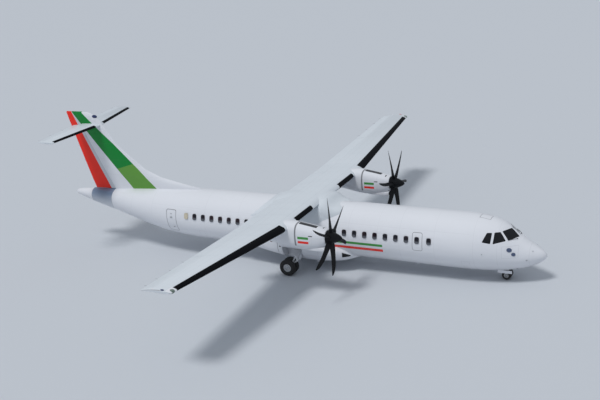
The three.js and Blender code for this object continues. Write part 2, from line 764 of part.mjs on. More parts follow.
function bladeSolid() {
  return loft(bladeRows.map(([radius, chord, sweep, angle, thick]) => {
    const tilt = THREE.MathUtils.degToRad(angle);
    return Array.from({ length: blade.sides }, (unused, i) => {
      const turn = (2 * Math.PI * i) / blade.sides;
      const along = (Math.cos(turn) * chord) / 2 + sweep;
      const off = (Math.sin(turn) * thick) / 2;
      return point(
        along * Math.cos(tilt) - off * Math.sin(tilt),
        along * Math.sin(tilt) + off * Math.cos(tilt),
        radius,
      );
    });
  }));
}

function turnedAlong(profile, sides) {
  const outline = profile.map(([aft, radius]) => new THREE.Vector2(radius, aft));
  return solidOf(new THREE.LatheGeometry(outline, sides));
}

function propeller(phase) {
  let rotor = turnedAlong(hubProfile, 24);
  for (let i = 0; i < blade.count; i += 1) {
    rotor = rotor.add(bladeSolid().rotate([0, phase + (360 * i) / blade.count, 0]));
  }
  return rotor;
}

for (const [name, side, phase] of [['left', 1, blade.phaseLeft], ['right', -1, blade.phaseRight]]) {
  const centre = point(side * propellerOffset, propellerAft, propellerHeight);
  const ahead = centre.clone().add(point(0, -500, 0));
  const behind = centre.clone().add(point(0, 500, 0));
  const spin = hingeGroup(`propeller_${name}_axis`, ahead, behind);
  addPart(`propeller_${name}`, propeller(phase).translate(centre.toArray()), 'black', spin);
  addPart(`spinner_${name}`, turnedAlong(spinnerProfile, 24).translate(centre.toArray()), 'black', spin);
}

// Fin and rudder
// height, leading edge, trailing edge, thickness
const finRows = [
  [900, 18100, 25740, 300],
  [1500, 18900, 25965, 290],
  [1650, 19900, 26010, 285],
  [1800, 20680, 26058, 283],
  [1930, 21330, 26100, 280],
  [2310, 22280, 26220, 275],
  [2600, 22650, 26312, 272],
  [3000, 23190, 26434, 267],
  [3720, 24080, 26654, 257],
  [4370, 24525, 26855, 245],
  [5190, 25140, 27100, 222],
  [5380, 25490, 27150, 200],
  [5430, 25700, 27120, 120],
];
const rudderHinge = { foot: 24550, slope: 0.465, base: 1070, bottom: 700, top: 6000 };
const rudderAft = (height) => rudderHinge.foot + rudderHinge.slope * (height - rudderHinge.base);

function finHalf(height, lead, trail, thickness, t) {
  const nose = Math.sqrt(Math.min(1, t / 0.22));
  const tail = t < 0.45 ? 1 : 1 - (t - 0.45) / 0.55;
  return (thickness / 2) * nose * (0.04 + 0.96 * tail);
}

let fin = loft(finRows.map(([height, lead, trail, thickness]) => foilRing((t, side) => point(
  side * finHalf(height, lead, trail, thickness, t), lead + t * (trail - lead), height,
))));
const rudderEnds = [rudderHinge.bottom, rudderHinge.top].map((height) => point(0, rudderAft(height), height));
const rudderNose = [105, 70];
const finSplit = splitAtHinge(fin, ...rudderEnds, rudderNose);
const rudder = finSplit.moving.subtract(hull(22100, 27170, 22));
fin = finSplit.fixed.subtract(hull(17600, 27170, seam));
addPart('fin', fin, 'white');
const rudderAxis = [point(0, rudderAft(1070), 1070), point(0, rudderAft(5430), 5430)];
addPart('rudder', rudder, 'white', hingeGroup('rudder_hinge', ...rudderAxis));

// Tailplane and elevators
const tail = { lead: 24900, trail: 26550, tipLead: 25400, tipTrail: 26450, thickness: 0.12, hinge: 0.64 };

function tailSurface(x, t, side) {
  const out = Math.abs(x) / tailplaneHalf;
  const lead = THREE.MathUtils.lerp(tail.lead, tail.tipLead, out);
  const chord = THREE.MathUtils.lerp(tail.trail, tail.tipTrail, out) - lead;
  const half = foil(t) * tail.thickness * chord + 4 * t;
  return point(x, lead + t * chord, tailplaneHeight + side * half);
}

let tailplane = loft([60, 3600, tailplaneHalf].map((x, i) => foilRing((t, side) => {
  const place = tailSurface(x, t, side);
  return i < 2 ? place : place.setZ(tailplaneHeight + (place.z - tailplaneHeight) * 0.5);
})));
const elevatorEnds = [330, 3480].map((x) => {
  const top = tailSurface(x, tail.hinge, 1);
  return { place: top.clone().setZ(tailplaneHeight), radius: (top.z - tailplaneHeight) * 1.12 };
});
const elevatorLine = elevatorEnds.map((end) => end.place);
const tailSplit = splitAtHinge(tailplane, ...elevatorLine, elevatorEnds.map((end) => end.radius));
const finRoom = loft(finRows.map(([height, lead, trail, thickness]) => foilRing((t, side) => point(
  side * (finHalf(height, lead, trail, thickness, t) + seam), lead + t * (trail - lead), height,
))));
const rudderSweep = box(
  point(-330, rudderAft(tailplaneHeight) - 150, tailplaneHeight - 300),
  point(330, 27500, tailplaneHeight + 300),
);
tailplane = tailSplit.fixed.subtract(finRoom).subtract(mirrored(finRoom)).subtract(rudderSweep);
addPart('tailplane_left', tailplane, 'wing');
addPart('tailplane_right', mirrored(tailplane), 'wing');
const [elevatorInner, elevatorOuter] = elevatorLine;
const elevatorLeft = hingeGroup('elevator_left_hinge', elevatorOuter, elevatorInner);
const elevatorRight = hingeGroup('elevator_right_hinge', flipped(elevatorInner), flipped(elevatorOuter));
addPart('elevator_left', tailSplit.moving, 'wing', elevatorLeft);
addPart('elevator_right', mirrored(tailSplit.moving), 'wing', elevatorRight);

// Wheels. A tyre's section is given as shares of its width and of its sidewall's height.
const mainTyre = { radius: 430, rim: 205, width: 240, spacing: 360, sides: 26 };
const noseTyre = { radius: 225, rim: 112, width: 185, spacing: 330, sides: 20 };
const tyreSection = [
  [-0.36, 0], [-0.5, 0.45], [-0.42, 0.88], [-0.2, 1], [0.2, 1], [0.42, 0.88], [0.5, 0.45], [0.36, 0],
];

function groundHeight(aft, radius) {
  return (radius - centrelineHeight - aft * Math.sin(pitch)) / Math.cos(pitch);
}

function tyre({ radius, rim, width, sides }, centre) {
  const wall = radius / Math.cos(Math.PI / sides) - rim - seam;
  const section = tyreSection.map(([across, up]) => [across * width, rim + seam + up * wall]);
  return turnedAcross([...section, section[0]], centre, sides);
}

// Two hubs on one axle
function wheelPair({ rim, width, spacing, sides }, axle, centre) {
  const inner = spacing / 2 - width * 0.36;
  const outer = spacing / 2 + width * 0.36;
  const dish = width * 0.2;
  const half = [
    [inner, axle], [inner, rim], [outer, rim], [outer, rim * 0.82],
    [outer - dish, rim * 0.74], [outer - dish, axle * 1.6],
    [outer - dish * 0.4, axle * 1.3], [outer - dish * 0.4, 0],
  ];
  const other = half.map(([x, radius]) => [-x, radius]).reverse();
  return turnedAcross([...other, ...half], centre, sides);
}

// Nose landing gear
const noseAxle = point(0, noseWheelAft, groundHeight(noseWheelAft, noseTyre.radius));
const noseLeg = { tube: 75, piston: 44, collar: 62, foot: -1315, axle: 29, housing: 48, housingHalf: 66 };
const towLug = { half: 26, reach: 105 };
const nosePoint = (x, back, height) => point(x, noseWheelAft + back, height);
let noseStrut = bar(nosePoint(0, 0, noseBay.roof - seam), nosePoint(0, 0, noseLeg.foot), noseLeg.tube);
noseStrut = noseStrut.add(bar(nosePoint(0, -335, -860), nosePoint(0, -30, -1180), 32, 12));
noseStrut = noseStrut.add(bar(nosePoint(-220, 0, -830), nosePoint(220, 0, -830), 48, 14));
noseStrut = noseStrut.subtract(bar(
  nosePoint(0, 0, noseLeg.foot - 10), nosePoint(0, 0, noseLeg.foot + 190), noseLeg.piston + 2,
));
addPart('nose_strut', noseStrut, 'strut');

const steering = hingeGroup(
  'steering_axis', nosePoint(0, 0, noseLeg.foot - 300), nosePoint(0, 0, noseLeg.foot + 300),
);
let fork = bar(nosePoint(0, 0, noseLeg.foot + 180), noseAxle, noseLeg.piston);
fork = fork.add(bar(nosePoint(0, 0, noseLeg.foot - 6), nosePoint(0, 0, noseLeg.foot - 60), noseLeg.collar));
fork = fork.add(barAcross(noseAxle, noseLeg.housingHalf, noseLeg.housing));
fork = fork.subtract(barAcross(noseAxle, 200, noseLeg.axle + 2));
fork = fork.add(box(
  noseAxle.clone().add(point(-towLug.half, -towLug.reach, -towLug.half)),
  noseAxle.clone().add(point(towLug.half, -noseLeg.axle - 6, towLug.half)),
));
addPart('nose_fork', fork, 'strut', steering);
const noseSpin = hingeGroup(
  'nose_wheel_axis', noseAxle.clone().setX(-100), noseAxle.clone().setX(100), steering,
);
addPart('nose_wheels', wheelPair(noseTyre, noseLeg.axle, noseAxle), 'rim', noseSpin);
for (const [name, side] of [['left', 1], ['right', -1]]) {
  const centre = noseAxle.clone().setX((side * noseTyre.spacing) / 2);
  addPart(`nose_tyre_${name}`, tyre(noseTyre, centre), 'tyre', noseSpin);
}

// Nose gear doors, which hang open beside the leg and move with it
const noseDoor = { length: 700, drop: 150, thickness: 22, top: -1235, gap: 2 };
for (const [name, side] of [['left', 1], ['right', -1]]) {
  const outer = noseBay.half - noseDoor.gap;
  const xs = [side * outer, side * (outer - noseDoor.thickness)].sort((a, b) => a - b);
  addPart(`nose_gear_door_${name}`, box(
    point(xs[0], noseBay.front + 60, noseDoor.top - noseDoor.drop),
    point(xs[1], noseBay.front + 60 + noseDoor.length, noseDoor.top),
  ), 'white');
}

// Main landing gear: a leg out of the belly fairing, with a trailing arm and a shock strut
const mainAxleHeight = groundHeight(mainWheelAft, mainTyre.radius);
const mainAxle = point(wheelTrack / 2, mainWheelAft, mainAxleHeight);
const mainLeg = { tube: 68, arm: 44, shock: 46, pivot: 80, axle: 42, housing: 62, housingHalf: 52 };
const legRoot = point(gearBay.inner + 90, mainWheelAft - 400, -900);
const knee = point(mainAxle.x, mainWheelAft - 480, mainAxleHeight + 370);
const shockTop = point(mainAxle.x, mainWheelAft - 420, mainAxleHeight + 610);
const shockFoot = point(mainAxle.x, mainWheelAft - 90, mainAxleHeight + 60);

const pivotEnds = [gearBay.front + seam, gearBay.rear - 420].map((aft) => legRoot.clone().setY(aft));
let leg = bar(legRoot, knee, mainLeg.tube, 12);
leg = leg.add(bar(...pivotEnds, mainLeg.pivot, 12));
leg = leg.add(bar(knee.clone().add(point(0, 0, -50)), shockTop, mainLeg.arm, 10));
leg = leg.add(bar(shockTop, shockFoot, mainLeg.shock, 10, mainLeg.shock * 0.7));
leg = leg.add(bar(knee, mainAxle, mainLeg.arm, 10));
leg = leg.add(barAcross(mainAxle, mainLeg.housingHalf, mainLeg.housing));
leg = leg.subtract(barAcross(mainAxle, 300, mainLeg.axle + 2));
addPart('main_leg_left', leg, 'strut');
addPart('main_leg_right', mirrored(leg), 'strut');

for (const [name, side] of [['left', 1], ['right', -1]]) {
  const centre = mainAxle.clone().setX(side * mainAxle.x);
  const reach = point(100, 0, 0);
  const spin = hingeGroup(`main_wheel_${name}_axis`, centre.clone().sub(reach), centre.clone().add(reach));
  addPart(`main_wheels_${name}`, wheelPair(mainTyre, mainLeg.axle, centre), 'rim', spin);
  for (const [place, across] of [['inner', -side], ['outer', side]]) {
    const middle = centre.clone().setX(centre.x + (across * mainTyre.spacing) / 2);
    addPart(`main_tyre_${name}_${place}`, tyre(mainTyre, middle), 'tyre', spin);
  }
}

// Doors carried by the main legs
const legDoor = { thickness: 24, drop: 60, rise: 150, inner: 1262, outer: 1960, ahead: 85 };
const legDoorPlate = loft([legDoor.inner, legDoor.outer].map((x) => {
  const middle = legRoot.clone().lerp(knee, (x - legRoot.x) / (knee.x - legRoot.x));
  const back = middle.y - legDoor.ahead;
  const front = back - legDoor.thickness;
  const foot = middle.z - legDoor.drop;
  const head = middle.z + legDoor.rise;
  return [point(x, front, foot), point(x, back, foot), point(x, back, head), point(x, front, head)];
}));
addPart('main_gear_door_left', legDoorPlate, 'white');
addPart('main_gear_door_right', mirrored(legDoorPlate), 'white');

// The origin is under the middle of the whole aircraft.
const extent = new THREE.Box3().setFromObject(aircraft, true);
airframe.position.y = -(extent.min.y + extent.max.y) / 2;

export default aircraft;
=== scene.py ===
import json
import math

import bmesh
import bpy
from mathutils import Matrix, Vector
from mathutils.bvhtree import BVHTree

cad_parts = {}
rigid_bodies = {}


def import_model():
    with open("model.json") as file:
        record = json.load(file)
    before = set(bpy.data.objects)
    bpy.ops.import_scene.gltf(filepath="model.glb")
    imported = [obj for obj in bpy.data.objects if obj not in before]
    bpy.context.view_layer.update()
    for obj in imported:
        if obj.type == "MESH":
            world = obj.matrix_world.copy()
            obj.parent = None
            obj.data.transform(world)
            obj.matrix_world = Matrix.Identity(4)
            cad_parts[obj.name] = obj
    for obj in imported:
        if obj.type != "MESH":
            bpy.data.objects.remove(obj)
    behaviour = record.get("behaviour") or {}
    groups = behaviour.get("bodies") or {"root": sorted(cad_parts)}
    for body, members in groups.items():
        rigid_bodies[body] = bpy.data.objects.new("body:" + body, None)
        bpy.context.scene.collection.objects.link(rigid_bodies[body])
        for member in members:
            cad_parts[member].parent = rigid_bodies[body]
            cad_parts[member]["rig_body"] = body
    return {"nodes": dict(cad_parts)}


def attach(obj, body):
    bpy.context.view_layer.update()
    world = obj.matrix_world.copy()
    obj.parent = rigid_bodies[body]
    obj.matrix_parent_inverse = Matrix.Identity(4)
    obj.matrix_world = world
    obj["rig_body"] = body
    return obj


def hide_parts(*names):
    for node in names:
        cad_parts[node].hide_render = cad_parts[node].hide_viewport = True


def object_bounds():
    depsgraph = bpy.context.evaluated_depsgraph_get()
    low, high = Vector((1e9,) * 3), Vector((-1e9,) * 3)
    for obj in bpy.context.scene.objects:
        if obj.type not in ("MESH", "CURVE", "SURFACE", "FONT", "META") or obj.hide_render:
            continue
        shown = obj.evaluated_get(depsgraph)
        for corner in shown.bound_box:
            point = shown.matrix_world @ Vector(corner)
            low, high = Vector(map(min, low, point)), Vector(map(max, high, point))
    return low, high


# Twin-engine turboprop airliner on its landing gear.
# Pieces are laid out along the airframe: across to port, aft from the nose tip, up from the centreline.

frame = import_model()
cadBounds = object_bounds()
nodes = frame["nodes"]

stance = {
    "pitch": math.radians(1),
    "centrelineHeight": 1.742,
    "noseTipHeight": -0.395,
    "wheelTrack": 4.1,
}
noseShift = cadBounds[0].y + stance["noseTipHeight"] * math.sin(stance["pitch"])
parked = Matrix.Translation((0, noseShift, stance["centrelineHeight"]))
airframe = parked @ Matrix.Rotation(stance["pitch"], 4, "X")
airframeBack = airframe.inverted()
bothSides = ((1, "left"), (-1, "right"))


def smoothTable(rows):
    # values between the rows of a table, by a curve that never overshoots them
    first = [row[0] for row in rows]
    slopes = []
    for column in range(1, len(rows[0])):
        values = [row[column] for row in rows]
        steps = [(b - a) / (q - p) for a, b, p, q in zip(values, values[1:], first, first[1:])]
        slope = [steps[0]]
        for i in range(1, len(steps)):
            if steps[i - 1] * steps[i] <= 0:
                slope.append(0)
                continue
            wide = 2 * first[i + 1] - first[i] - first[i - 1]
            near = first[i + 1] + first[i] - 2 * first[i - 1]
            slope.append(3 * (first[i + 1] - first[i - 1]) / (wide / steps[i - 1] + near / steps[i]))
        slopes.append(slope + [steps[-1]])

    def at(place):
        i = 0
        while i < len(rows) - 2 and place > first[i + 1]:
            i += 1
        span = first[i + 1] - first[i]
        t = min(1, max(0, (place - first[i]) / span))
        found = []
        for column, slope in enumerate(slopes):
            low, high = rows[i][column + 1], rows[i + 1][column + 1]
            lean = t * (1 - t) * span * ((1 - t) * slope[i] - t * slope[i + 1])
            found.append(low + (high - low) * t * t * (3 - 2 * t) + lean)
        return found

    return at


# Fuselage sections: aft, half width, top, bottom, height of the widest line
hullRows = [
    (0, 0.03, -0.395, -0.455, -0.425),
    (0.06, 0.15, -0.27, -0.56, -0.425),
    (0.18, 0.27, -0.16, -0.67, -0.42),
    (0.4, 0.44, -0.02, -0.82, -0.4),
    (0.75, 0.64, 0.19, -0.98, -0.37),
    (1.1, 0.815, 0.41, -1.095, -0.33),
    (1.4, 0.94, 0.655, -1.165, -0.28),
    (1.7, 1.05, 0.905, -1.22, -0.22),
    (2.05, 1.16, 1.11, -1.27, -0.15),
    (2.45, 1.265, 1.255, -1.31, -0.09),
    (2.95, 1.355, 1.345, -1.345, -0.04),
    (3.55, 1.412, 1.39, -1.37, -0.01),
    (4.3, 1.4325, 1.4, -1.375, 0),
    (10, 1.4325, 1.405, -1.32, 0),
    (17.6, 1.4325, 1.43, -1.245, 0),
    (18.6, 1.425, 1.425, -1.225, 0.02),
    (19.7, 1.375, 1.4, -1.175, 0.08),
    (20.9, 1.255, 1.35, -1.04, 0.19),
    (22.1, 1.075, 1.265, -0.79, 0.32),
    (23.3, 0.84, 1.16, -0.48, 0.44),
    (24.43, 0.61, 1.05, -0.195, 0.53),
    (25.3, 0.47, 1.01, 0, 0.59),
    (25.95, 0.38, 0.975, 0.175, 0.63),
    (26.6, 0.27, 0.905, 0.375, 0.665),
    (27.05, 0.175, 0.85, 0.53, 0.69),
    (27.17, 0.09, 0.79, 0.61, 0.7),
]
hullShape = smoothTable(hullRows)


def hullAngle(across, aft, up):
    # place round the section, and how far out of it, with 1 on the skin
    half, top, bottom, middle = hullShape(aft)
    reach = top - middle if up > middle else middle - bottom
    rise = (up - middle) / reach
    return math.atan2(rise, across / half), math.hypot(rise, across / half)


def hullPoint(angle, aft):
    half, top, bottom, middle = hullShape(aft)
    reach = top - middle if math.sin(angle) > 0 else middle - bottom
    return Vector((half * math.cos(angle), aft, middle + reach * math.sin(angle)))


def hullNormal(angle, aft):
    step = 0.01
    around = hullPoint(angle + step, aft) - hullPoint(angle - step, aft)
    along = hullPoint(angle, aft + step) - hullPoint(angle, aft - step)
    return around.cross(along).normalized()


def hullSpot(side, aft, up):
    # point and outward normal on the skin at a height, on one side
    _, top, bottom, middle = hullShape(aft)
    reach = top - middle if up > middle else middle - bottom
    rise = (up - middle) / reach
    angle = math.asin(max(-1, min(1, rise)))
    if side < 0:
        angle = math.pi - angle
    return hullPoint(angle, aft), hullNormal(angle, aft)


# Shapes are pairs of points and faces, joined before they become a piece

def circle(sides, start=0):
    # cosine and sine of evenly spaced turns
    turns = [start + 2 * math.pi * k / sides for k in range(sides)]
    return [(math.cos(turn), math.sin(turn)) for turn in turns]


def joined(*shapes):
    points, faces = [], []
    for shapePoints, shapeFaces in shapes:
        start = len(points)
        points += [Vector(point) for point in shapePoints]
        faces += [tuple(i + start for i in face) for face in shapeFaces]
    return points, faces


def mirrored(shape):
    points, faces = shape
    return [Vector((-p[0], p[1], p[2])) for p in points], [tuple(reversed(face)) for face in faces]


def moved(shape, matrix):
    return [matrix @ Vector(point) for point in shape[0]], shape[1]


def loft(rings):
    sides = len(rings[0])
    points = [point for ring in rings for point in ring]
    faces = []
    for ring in range(len(rings) - 1):
        for side in range(sides):
            a = ring * sides + side
            b = ring * sides + (side + 1) % sides
            faces.append((a, b, b + sides, a + sides))
    faces.append(tuple(reversed(range(sides))))
    faces.append(tuple(range((len(rings) - 1) * sides, len(rings) * sides)))
    return points, faces


def basis(normal, near):
    # right and up vectors of a plane, right as close as it can be to a wanted direction
    normal = Vector(normal).normalized()
    right = (Vector(near) - normal * normal.dot(Vector(near))).normalized()
    return right, normal.cross(right), normal


def planeAt(centre, normal):
    right, up, out = basis(normal, (0, 1, 0))
    return Matrix((
        (right.x, up.x, out.x, centre[0]),
        (right.y, up.y, out.y, centre[1]),
        (right.z, up.z, out.z, centre[2]),
        (0, 0, 0, 1),
    ))


def roundedOutline(width, height, radius, steps=4):
    outline = []
    for cornerX, cornerY, start in ((1, 1, 0), (-1, 1, 90), (-1, -1, 180), (1, -1, 270)):
        for i in range(steps + 1):
            angle = math.radians(start + 90 * i / steps)
            outline.append((
                cornerX * (width / 2 - radius) + radius * math.cos(angle),
                cornerY * (height / 2 - radius) + radius * math.sin(angle),
            ))
    return outline


def prism(outline, low, high, bevel=0):
    # a plate with softened upper edges
    levels = [(low, 0), (high - bevel, 0), (high, bevel)] if bevel else [(low, 0), (high, 0)]
    rings = []
    for level, inset in levels:
        ring = []
        for x, y in outline:
            size = math.hypot(x, y) or 1
            ring.append(Vector((x - x / size * inset, y - y / size * inset, level)))
        rings.append(ring)
    return loft(rings)


def tube(path, radius, sides=10):
    path = [Vector(point) for point in path]
    rings = []
    side = None
    for i, point in enumerate(path):
        ahead = path[min(i + 1, len(path) - 1)] - path[max(i - 1, 0)]
        direction = ahead.normalized()
        if side is None:
            side = direction.orthogonal().normalized()
        side = (side - direction * side.dot(direction)).normalized()
        other = direction.cross(side)
        size = radius[i] if isinstance(radius, (list, tuple)) else radius
        rings.append([point + side * size * cos + other * size * sin for cos, sin in circle(sides)])
    return loft(rings)


def turned(profile, centre, axis, sides=32):
    # a body turned about an axis; the profile lists (along, radius)
    right, up, along = basis(axis, (0.1, 0.2, 1))
    rings = []
    for place, radius in profile:
        size = max(radius, 0.0005)
        rings.append([
            Vector(centre) + along * place + (right * cos + up * sin) * size for cos, sin in circle(sides)
        ])
    return loft(rings)


def curvePoints(points, count=24):
    # a smooth line through a few points
    points = [Vector(p) for p in points]
    ends = [points[0] * 2 - points[1], *points, points[-1] * 2 - points[-2]]
    found = []
    for i in range(count + 1):
        place = (len(points) - 1) * i / count
        k = min(int(place), len(points) - 2)
        t = place - k
        a, b, c, d = ends[k:k + 4]
        square, cube = 2 * a - 5 * b + 4 * c - d, 3 * b - a - 3 * c + d
        found.append(0.5 * (2 * b + (c - a) * t + square * t * t + cube * t ** 3))
    return found


# Pieces

def bodyOf(node):
    return nodes[node]["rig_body"]


def newObject(name, mesh):
    piece = bpy.data.objects.new(name, mesh)
    bpy.context.scene.collection.objects.link(piece)
    return piece


def shapeMesh(name, shape):
    mesh = bpy.data.meshes.new(name)
    mesh.from_pydata([tuple(p) for p in shape[0]], [], shape[1])
    mesh.transform(airframe)
    return mesh


def makePiece(name, shape, paint, body="airframe", smooth=35):
    mesh = shapeMesh(name, shape)
    faceOutward(mesh)
    piece = newObject(name, mesh)
    mesh.materials.append(paints[paint])
    shadeSmooth(mesh, smooth)
    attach(piece, body)
    return piece


def faceOutward(mesh):
    work = bmesh.new()
    work.from_mesh(mesh)
    bmesh.ops.recalc_face_normals(work, faces=work.faces)
    work.to_mesh(mesh)
    work.free()


def shadeSmooth(mesh, degrees):
    mesh.polygons.foreach_set("use_smooth", [True] * len(mesh.polygons))
    mesh.set_sharp_from_angle(angle=math.radians(degrees))


def applyModifiers(piece):
    ready = piece.evaluated_get(bpy.context.evaluated_depsgraph_get())
    mesh = bpy.data.meshes.new_from_object(ready)
    old = piece.data
    piece.modifiers.clear()
    piece.data = mesh
    bpy.data.meshes.remove(old)


def dressedNode(node, paint, smooth=35):
    # a copy of a CAD node with its edges welded, so that it can be shaded smooth
    mesh = nodes[node].data.copy()
    piece = newObject(node + "_skin", mesh)
    mesh.attributes.remove(mesh.attributes["custom_normal"])
    weld = piece.modifiers.new("weld", "WELD")
    weld.merge_threshold = 0.00002
    applyModifiers(piece)
    piece.data.materials.clear()
    piece.data.materials.append(paints[paint])
    shadeSmooth(piece.data, smooth)
    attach(piece, bodyOf(node))
    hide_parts(node)
    return piece


def cutWith(piece, cutterShape):
    cutter = newObject("cutter", shapeMesh("cutter", cutterShape))
    boolean = piece.modifiers.new("cut", "BOOLEAN")
    boolean.operation = "DIFFERENCE"
    boolean.solver = "EXACT"
    boolean.object = cutter
    applyModifiers(piece)
    bpy.data.objects.remove(cutter)


def followHull(piece, smooth=35):
    # the outer skin takes the normals of the true oval, so that its facets don't show
    mesh = piece.data
    shadeSmooth(mesh, smooth)
    turn = airframe.to_3x3()
    back = airframeBack.to_3x3()
    spots = [airframeBack @ v.co for v in mesh.vertices]
    normals = []
    cache = {}
    for face in mesh.polygons:
        centre = sum((spots[i] for i in face.vertices), Vector()) / len(face.vertices)
        angle, out = hullAngle(*centre)
        onSkin = out > 0.9 and (back @ face.normal).dot(hullNormal(angle, centre.y)) > 0.86
        for i in face.vertices:
            if not onSkin:
                normals.append((0, 0, 0))
                continue
            if i not in cache:
                cache[i] = turn @ hullNormal(hullAngle(*spots[i])[0], spots[i].y)
            normals.append(cache[i])
    mesh.normals_split_custom_set(normals)


# Materials

class Field:
    # a number that varies over a surface, built from math nodes
    def __init__(self, tree, socket):
        self.tree = tree
        self.socket = socket

    def step(self, operation, *others, clamp=False):
        node = self.tree.nodes.new("ShaderNodeMath")
        node.operation = operation
        node.use_clamp = clamp
        self.tree.links.new(self.socket, node.inputs[0])
        for i, other in enumerate(others):
            if isinstance(other, Field):
                self.tree.links.new(other.socket, node.inputs[i + 1])
            else:
                node.inputs[i + 1].default_value = other
        return Field(self.tree, node.outputs[0])

    def __add__(self, other):
        return self.step("ADD", other)

    def __sub__(self, other):
        return self.step("SUBTRACT", other)

    def __mul__(self, other):
        return self.step("MULTIPLY", other)

    def __truediv__(self, other):
        return self.step("DIVIDE", other)

    def absolute(self):
        return self.step("ABSOLUTE")

    def above(self, limit, soft=0.004):
        # 1 past the limit and 0 before it, with a soft edge
        return (self - limit).step("MULTIPLY_ADD", 1 / soft, 0.5, clamp=True)

    def below(self, limit, soft=0.004):
        return (self - limit).step("MULTIPLY_ADD", -1 / soft, 0.5, clamp=True)

    def between(self, low, high, soft=0.004):
        return self.above(low, soft) * self.below(high, soft)

    def either(self, other):
        return self.step("MAXIMUM", other)

    def line(self, place, width=0.012):
        # a fine line where the field has a value
        return (self - place).absolute().below(width / 2, width * 0.6)

    def clamped(self):
        return self.step("MULTIPLY", 1.0, clamp=True)

    def other(self):
        return self * -1 + 1


def roundedBox(u, v, centre, half, radius):
    # distance to a rounded rectangle, negative inside it
    du = (u - centre[0]).absolute() - (half[0] - radius)
    dv = (v - centre[1]).absolute() - (half[1] - radius)
    outU = du.step("MAXIMUM", 0.0)
    outV = dv.step("MAXIMUM", 0.0)
    inside = du.step("MAXIMUM", dv).step("MINIMUM", 0.0)
    return (outU * outU + outV * outV).step("SQRT") + inside - radius


def blended(tree, base, colour, share):
    mix = tree.nodes.new("ShaderNodeMix")
    mix.data_type = "RGBA"
    tree.links.new(share.socket, mix.inputs["Factor"])
    for name, value in (("A", base), ("B", colour)):
        socket = next(s for s in mix.inputs if s.name == name and s.type == "RGBA")
        if isinstance(value, tuple):
            socket.default_value = (*value, 1)
        else:
            tree.links.new(value, socket)
    return next(s for s in mix.outputs if s.type == "RGBA")


livery = {
    "white": (0.8, 0.815, 0.855),
    "shade": (0.71, 0.73, 0.77),
    "seam": (0.2, 0.205, 0.22),
    "green": (0.05, 0.3, 0.05),
    "darkGreen": (0.004, 0.235, 0.035),
    "lightGreen": (0.13, 0.34, 0.055),
    "red": (0.95, 0.028, 0.012),
    # the rudder's white and its second tone are the fin's, painted darker: painted shade where the rudder
    # faces away from the light
    "shadedRudderWhite": (0.62, 0.65, 0.69),
    "shadedRudderTone": (0.55, 0.575, 0.62),
    # the tone of the streaky darkening towards the fuselage's bottom
    "lowerDarkening": (0.42, 0.41, 0.4),
    "stripeSpan": (7.79, 12.4),
    "greenStripe": (-0.23, -0.1),
    "redStripe": (-0.52, -0.37),
    # where the skin's panels meet: round the hull, as aft places, and along it, as heights
    "hoops": (2.1, 3.2, 5.12, 6.9, 8.05, 9.6, 15.9, 17.93, 21.4, 22.9),
    "laps": (0.78, -0.92),
}


class Paint:
    # a material whose colour is laid on in layers
    def __init__(self, name):
        self.material = bpy.data.materials.new(name)
        self.material.use_nodes = True
        self.tree = self.material.node_tree
        self.shader = self.tree.nodes["Principled BSDF"]

    def place(self):
        # across, aft and up along the airframe, from the place of the CAD at rest
        coordinates = self.tree.nodes.new("ShaderNodeTexCoord")
        separate = self.tree.nodes.new("ShaderNodeSeparateXYZ")
        self.tree.links.new(coordinates.outputs["Object"], separate.inputs[0])
        across, y, z = [Field(self.tree, socket) for socket in separate.outputs]
        y = y - noseShift
        z = z - stance["centrelineHeight"]
        cos, sin = math.cos(stance["pitch"]), math.sin(stance["pitch"])
        return across, y * cos + z * sin, z * cos - y * sin

    def noise(self, scale, detail=3, stretch=(1, 1, 1)):
        coordinates = self.tree.nodes.new("ShaderNodeTexCoord")
        mapping = self.tree.nodes.new("ShaderNodeMapping")
        mapping.inputs["Scale"].default_value = stretch
        noise = self.tree.nodes.new("ShaderNodeTexNoise")
        for name, value in (("Scale", scale), ("Detail", detail), ("Roughness", 0.55)):
            noise.inputs[name].default_value = value
        self.tree.links.new(coordinates.outputs["Object"], mapping.inputs["Vector"])
        self.tree.links.new(mapping.outputs["Vector"], noise.inputs["Vector"])
        return Field(self.tree, noise.outputs["Fac"])

    def mix(self, base, colour, share):
        self.colour = blended(self.tree, base, colour, share)

    def layer(self, colour, share):
        self.mix(self.colour, colour, share)

    def seams(self, share):
        self.mix(self.colour, livery["seam"], share)

    def weathered(self, colour, shade):
        # faint clouds and streaks along the airflow over a plain paint
        clouds = self.noise(0.35, 4)
        streaks = self.noise(1.6, 5, stretch=(1, 0.06, 1))
        self.mix(colour, shade, ((clouds * 0.45 + streaks * 0.55 - 0.42) * 1.1).clamped())

    def roughness(self, base=0.26):
        return self.noise(5, 4) * 0.12 + base

    def finish(self, roughness, height=None, bumpDepth=0.002, metallic=0, coat=0, specular=0.5):
        # gives the shader its colour, its varying finish and its relief
        inputs = self.shader.inputs
        self.tree.links.new(self.colour, inputs["Base Color"])
        for name, value in (("Specular IOR Level", specular), ("Roughness", roughness)):
            if isinstance(value, Field):
                self.tree.links.new(value.socket, inputs[name])
            else:
                inputs[name].default_value = value
        for name, value in (("Metallic", metallic), ("Coat Weight", coat), ("Coat Roughness", 0.12)):
            inputs[name].default_value = value
        if height is not None:
            bump = self.tree.nodes.new("ShaderNodeBump")
            bump.inputs["Distance"].default_value = bumpDepth
            bump.inputs["Strength"].default_value = 1
            self.tree.links.new(height.socket, bump.inputs["Height"])
            self.tree.links.new(bump.outputs["Normal"], inputs["Normal"])
        return self.material


def lines(field, places, width, strength):
    # fine lines at several values of a field
    found = field.line(places[0], width)
    for place in places[1:]:
        found = found.either(field.line(place, width))
    return found * strength


